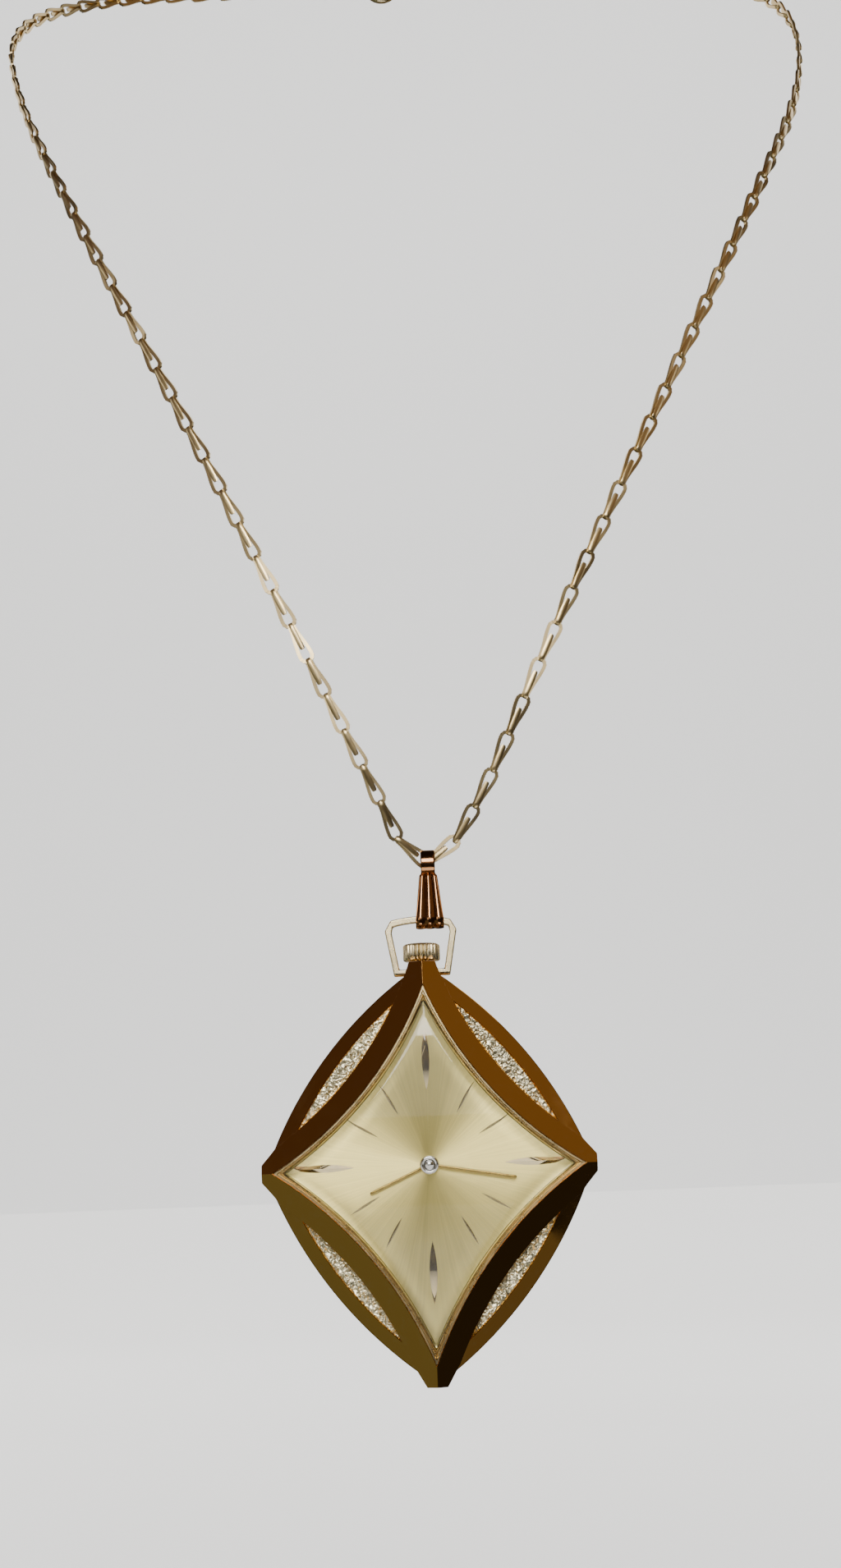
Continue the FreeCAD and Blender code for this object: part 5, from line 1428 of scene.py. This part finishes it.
# Place, target, width, depth and power of the two lamps that light the stage and aren't mirrored.
STAGE_LAMPS = {
    "backdrop_wash": ((0.0, 0.30, 0.85), (0.0, 1.2, -0.1), 1.8, 0.6, 22.0),
    "overhead": ((0.0, -0.4, 1.2), (0.0, -0.4, 0.0), 2.4, 2.4, 30.0),
}


def make_lamps():
    """A key lamp above the eye, dim tinted cards for the polished slopes, and strips for the edges."""
    for name, row in LAMPS.items():
        softbox(name, *row)
    for name, (place, target, width, depth, power) in STAGE_LAMPS.items():
        lamp = aimed(name, "AREA", Vector(place), Vector(target), shape="RECTANGLE", size=width,
                     size_y=depth, energy=power)
        lamp.visible_glossy = False


MOVEMENT = {
    "ring": ["movement_ring"],
    "nickel": ["mainplate", "barrel_bridge", "train_bridge", "balance_cock"],
    "brass": ["dial_feet", "hour_wheel", "minute_wheel", "centre_wheel", "third_wheel", "fourth_wheel",
              "balance_wheel", "barrel", "barrel_cover"],
    "steel": ["cannon_pinion", "setting_wheel", "escape_wheel", "pallet_fork", "regulator", "barrel_arbor",
              "ratchet_wheel", "crown_wheel", "click", "winding_pinion", "sliding_pinion", "stem",
              "setting_lever", "yoke", "setting_spring"],
    "blued": ["bridge_screws", "hairspring", "mainspring", "ratchet_screw", "crown_wheel_screw",
              "click_spring"],
    "ruby": ["jewels"],
    "rim": ["pendant_tube"],
}


# ------------------------------------------------------------------ operators
class WATCH_OT_stage(bpy.types.Operator):
    """Set up the camera, the lamps, the floor and the backdrop"""
    bl_idname = "watch.stage"
    bl_label = "Stage"

    def execute(self, context):
        make_camera()
        make_world()
        make_lamps()
        make_backdrop(FINISHES["stage"])
        return {"FINISHED"}


class WATCH_OT_finishes(bpy.types.Operator):
    """Make every material"""
    bl_idname = "watch.finishes"
    bl_label = "Finishes"

    def execute(self, context):
        FINISHES.update(make_finishes(context.scene.watch_finishes))
        return {"FINISHED"}


class WATCH_OT_chain(bpy.types.Operator):
    """Hang the link chain, with its clasp and end ring"""
    bl_idname = "watch.chain"
    bl_label = "Chain and clasp"

    def execute(self, context):
        ring = make_end_ring(FINISHES["pale"])
        coat("pale", ["clasp_ring", "clasp_bolt"])
        coat("steel", ["clasp_spring"])
        links, line = make_chain(context.scene.watch_chain, FINISHES["chain"])
        return {"FINISHED"}


class WATCH_OT_case(bpy.types.Operator):
    """Make the front frame, the back layer, the panels and the case back"""
    bl_idname = "watch.case"
    bl_label = "Case"

    def execute(self, context):
        case = context.scene.watch_case
        make_front_frame(case, FINISHES["gold"])
        make_case_band(case, FINISHES["rim"])
        make_panels(case, FINISHES["nugget"])
        make_case_back(case, FINISHES["back"])
        return {"FINISHED"}


class WATCH_OT_crystal(bpy.types.Operator):
    """Make the crystal and the worn ring that holds it"""
    bl_idname = "watch.crystal"
    bl_label = "Crystal"

    def execute(self, context):
        make_lip(context.scene.watch_case, FINISHES["lip"])
        make_crystal(context.scene.watch_case, FINISHES["crystal"])
        return {"FINISHED"}


class WATCH_OT_dial(bpy.types.Operator):
    """Make the dial, its markers and the hands"""
    bl_idname = "watch.dial"
    bl_label = "Dial and hands"

    def execute(self, context):
        dial = context.scene.watch_dial
        make_dial(context.scene.watch_case, FINISHES["dial"])
        make_markers(dial, FINISHES["marker"], FINISHES["dark_marker"])
        for name, sizes in HANDS.items():
            make_hand(name, *sizes, dial.hand_width, FINISHES["hand"])
        make_cap(FINISHES["steel"])
        return {"FINISHED"}


class WATCH_OT_bow(bpy.types.Operator):
    """Make the crown, the bow and the bail"""
    bl_idname = "watch.bow"
    bl_label = "Crown, bow and bail"

    def execute(self, context):
        make_crown(FINISHES["pale"])
        make_bow(context.scene.watch_case, FINISHES["pale"])
        make_bail(FINISHES["bail"])
        return {"FINISHED"}


class WATCH_OT_movement(bpy.types.Operator):
    """Finish the plates, wheels, springs and screws of the movement"""
    bl_idname = "watch.movement"
    bl_label = "Movement"

    def execute(self, context):
        for finish_name, names in MOVEMENT.items():
            coat(finish_name, names)
        return {"FINISHED"}


OPERATORS = (
    WATCH_OT_finishes,
    WATCH_OT_stage,
    WATCH_OT_chain,
    WATCH_OT_case,
    WATCH_OT_crystal,
    WATCH_OT_dial,
    WATCH_OT_bow,
    WATCH_OT_movement,
)
SETTINGS = {
    "watch_case": CaseSizes,
    "watch_dial": DialSizes,
    "watch_chain": ChainSizes,
    "watch_finishes": Finishes,
}


class WATCH_PT_panel(bpy.types.Panel):
    """Sizes, colours and steps of the pendant watch"""
    bl_idname = "WATCH_PT_panel"
    bl_label = "Pendant watch"
    bl_space_type = "VIEW_3D"
    bl_region_type = "UI"
    bl_category = "Pendant watch"

    def draw(self, context):
        for name, kind in SETTINGS.items():
            box = self.layout.box()
            for label in kind.__annotations__:
                box.prop(getattr(context.scene, name), label)
        for operator in OPERATORS:
            self.layout.operator(operator.bl_idname)


def register():
    for kind in (*SETTINGS.values(), *OPERATORS, WATCH_PT_panel):
        bpy.utils.register_class(kind)
    for name, kind in SETTINGS.items():
        setattr(bpy.types.Scene, name, PointerProperty(type=kind))


def unregister():
    for name in SETTINGS:
        delattr(bpy.types.Scene, name)
    for kind in reversed((*SETTINGS.values(), *OPERATORS, WATCH_PT_panel)):
        bpy.utils.unregister_class(kind)


def main():
    register()
    for operator in OPERATORS:
        group_name, step = operator.bl_idname.split(".")
        getattr(getattr(bpy.ops, group_name), step)()


if __name__ == "__main__":
    main()
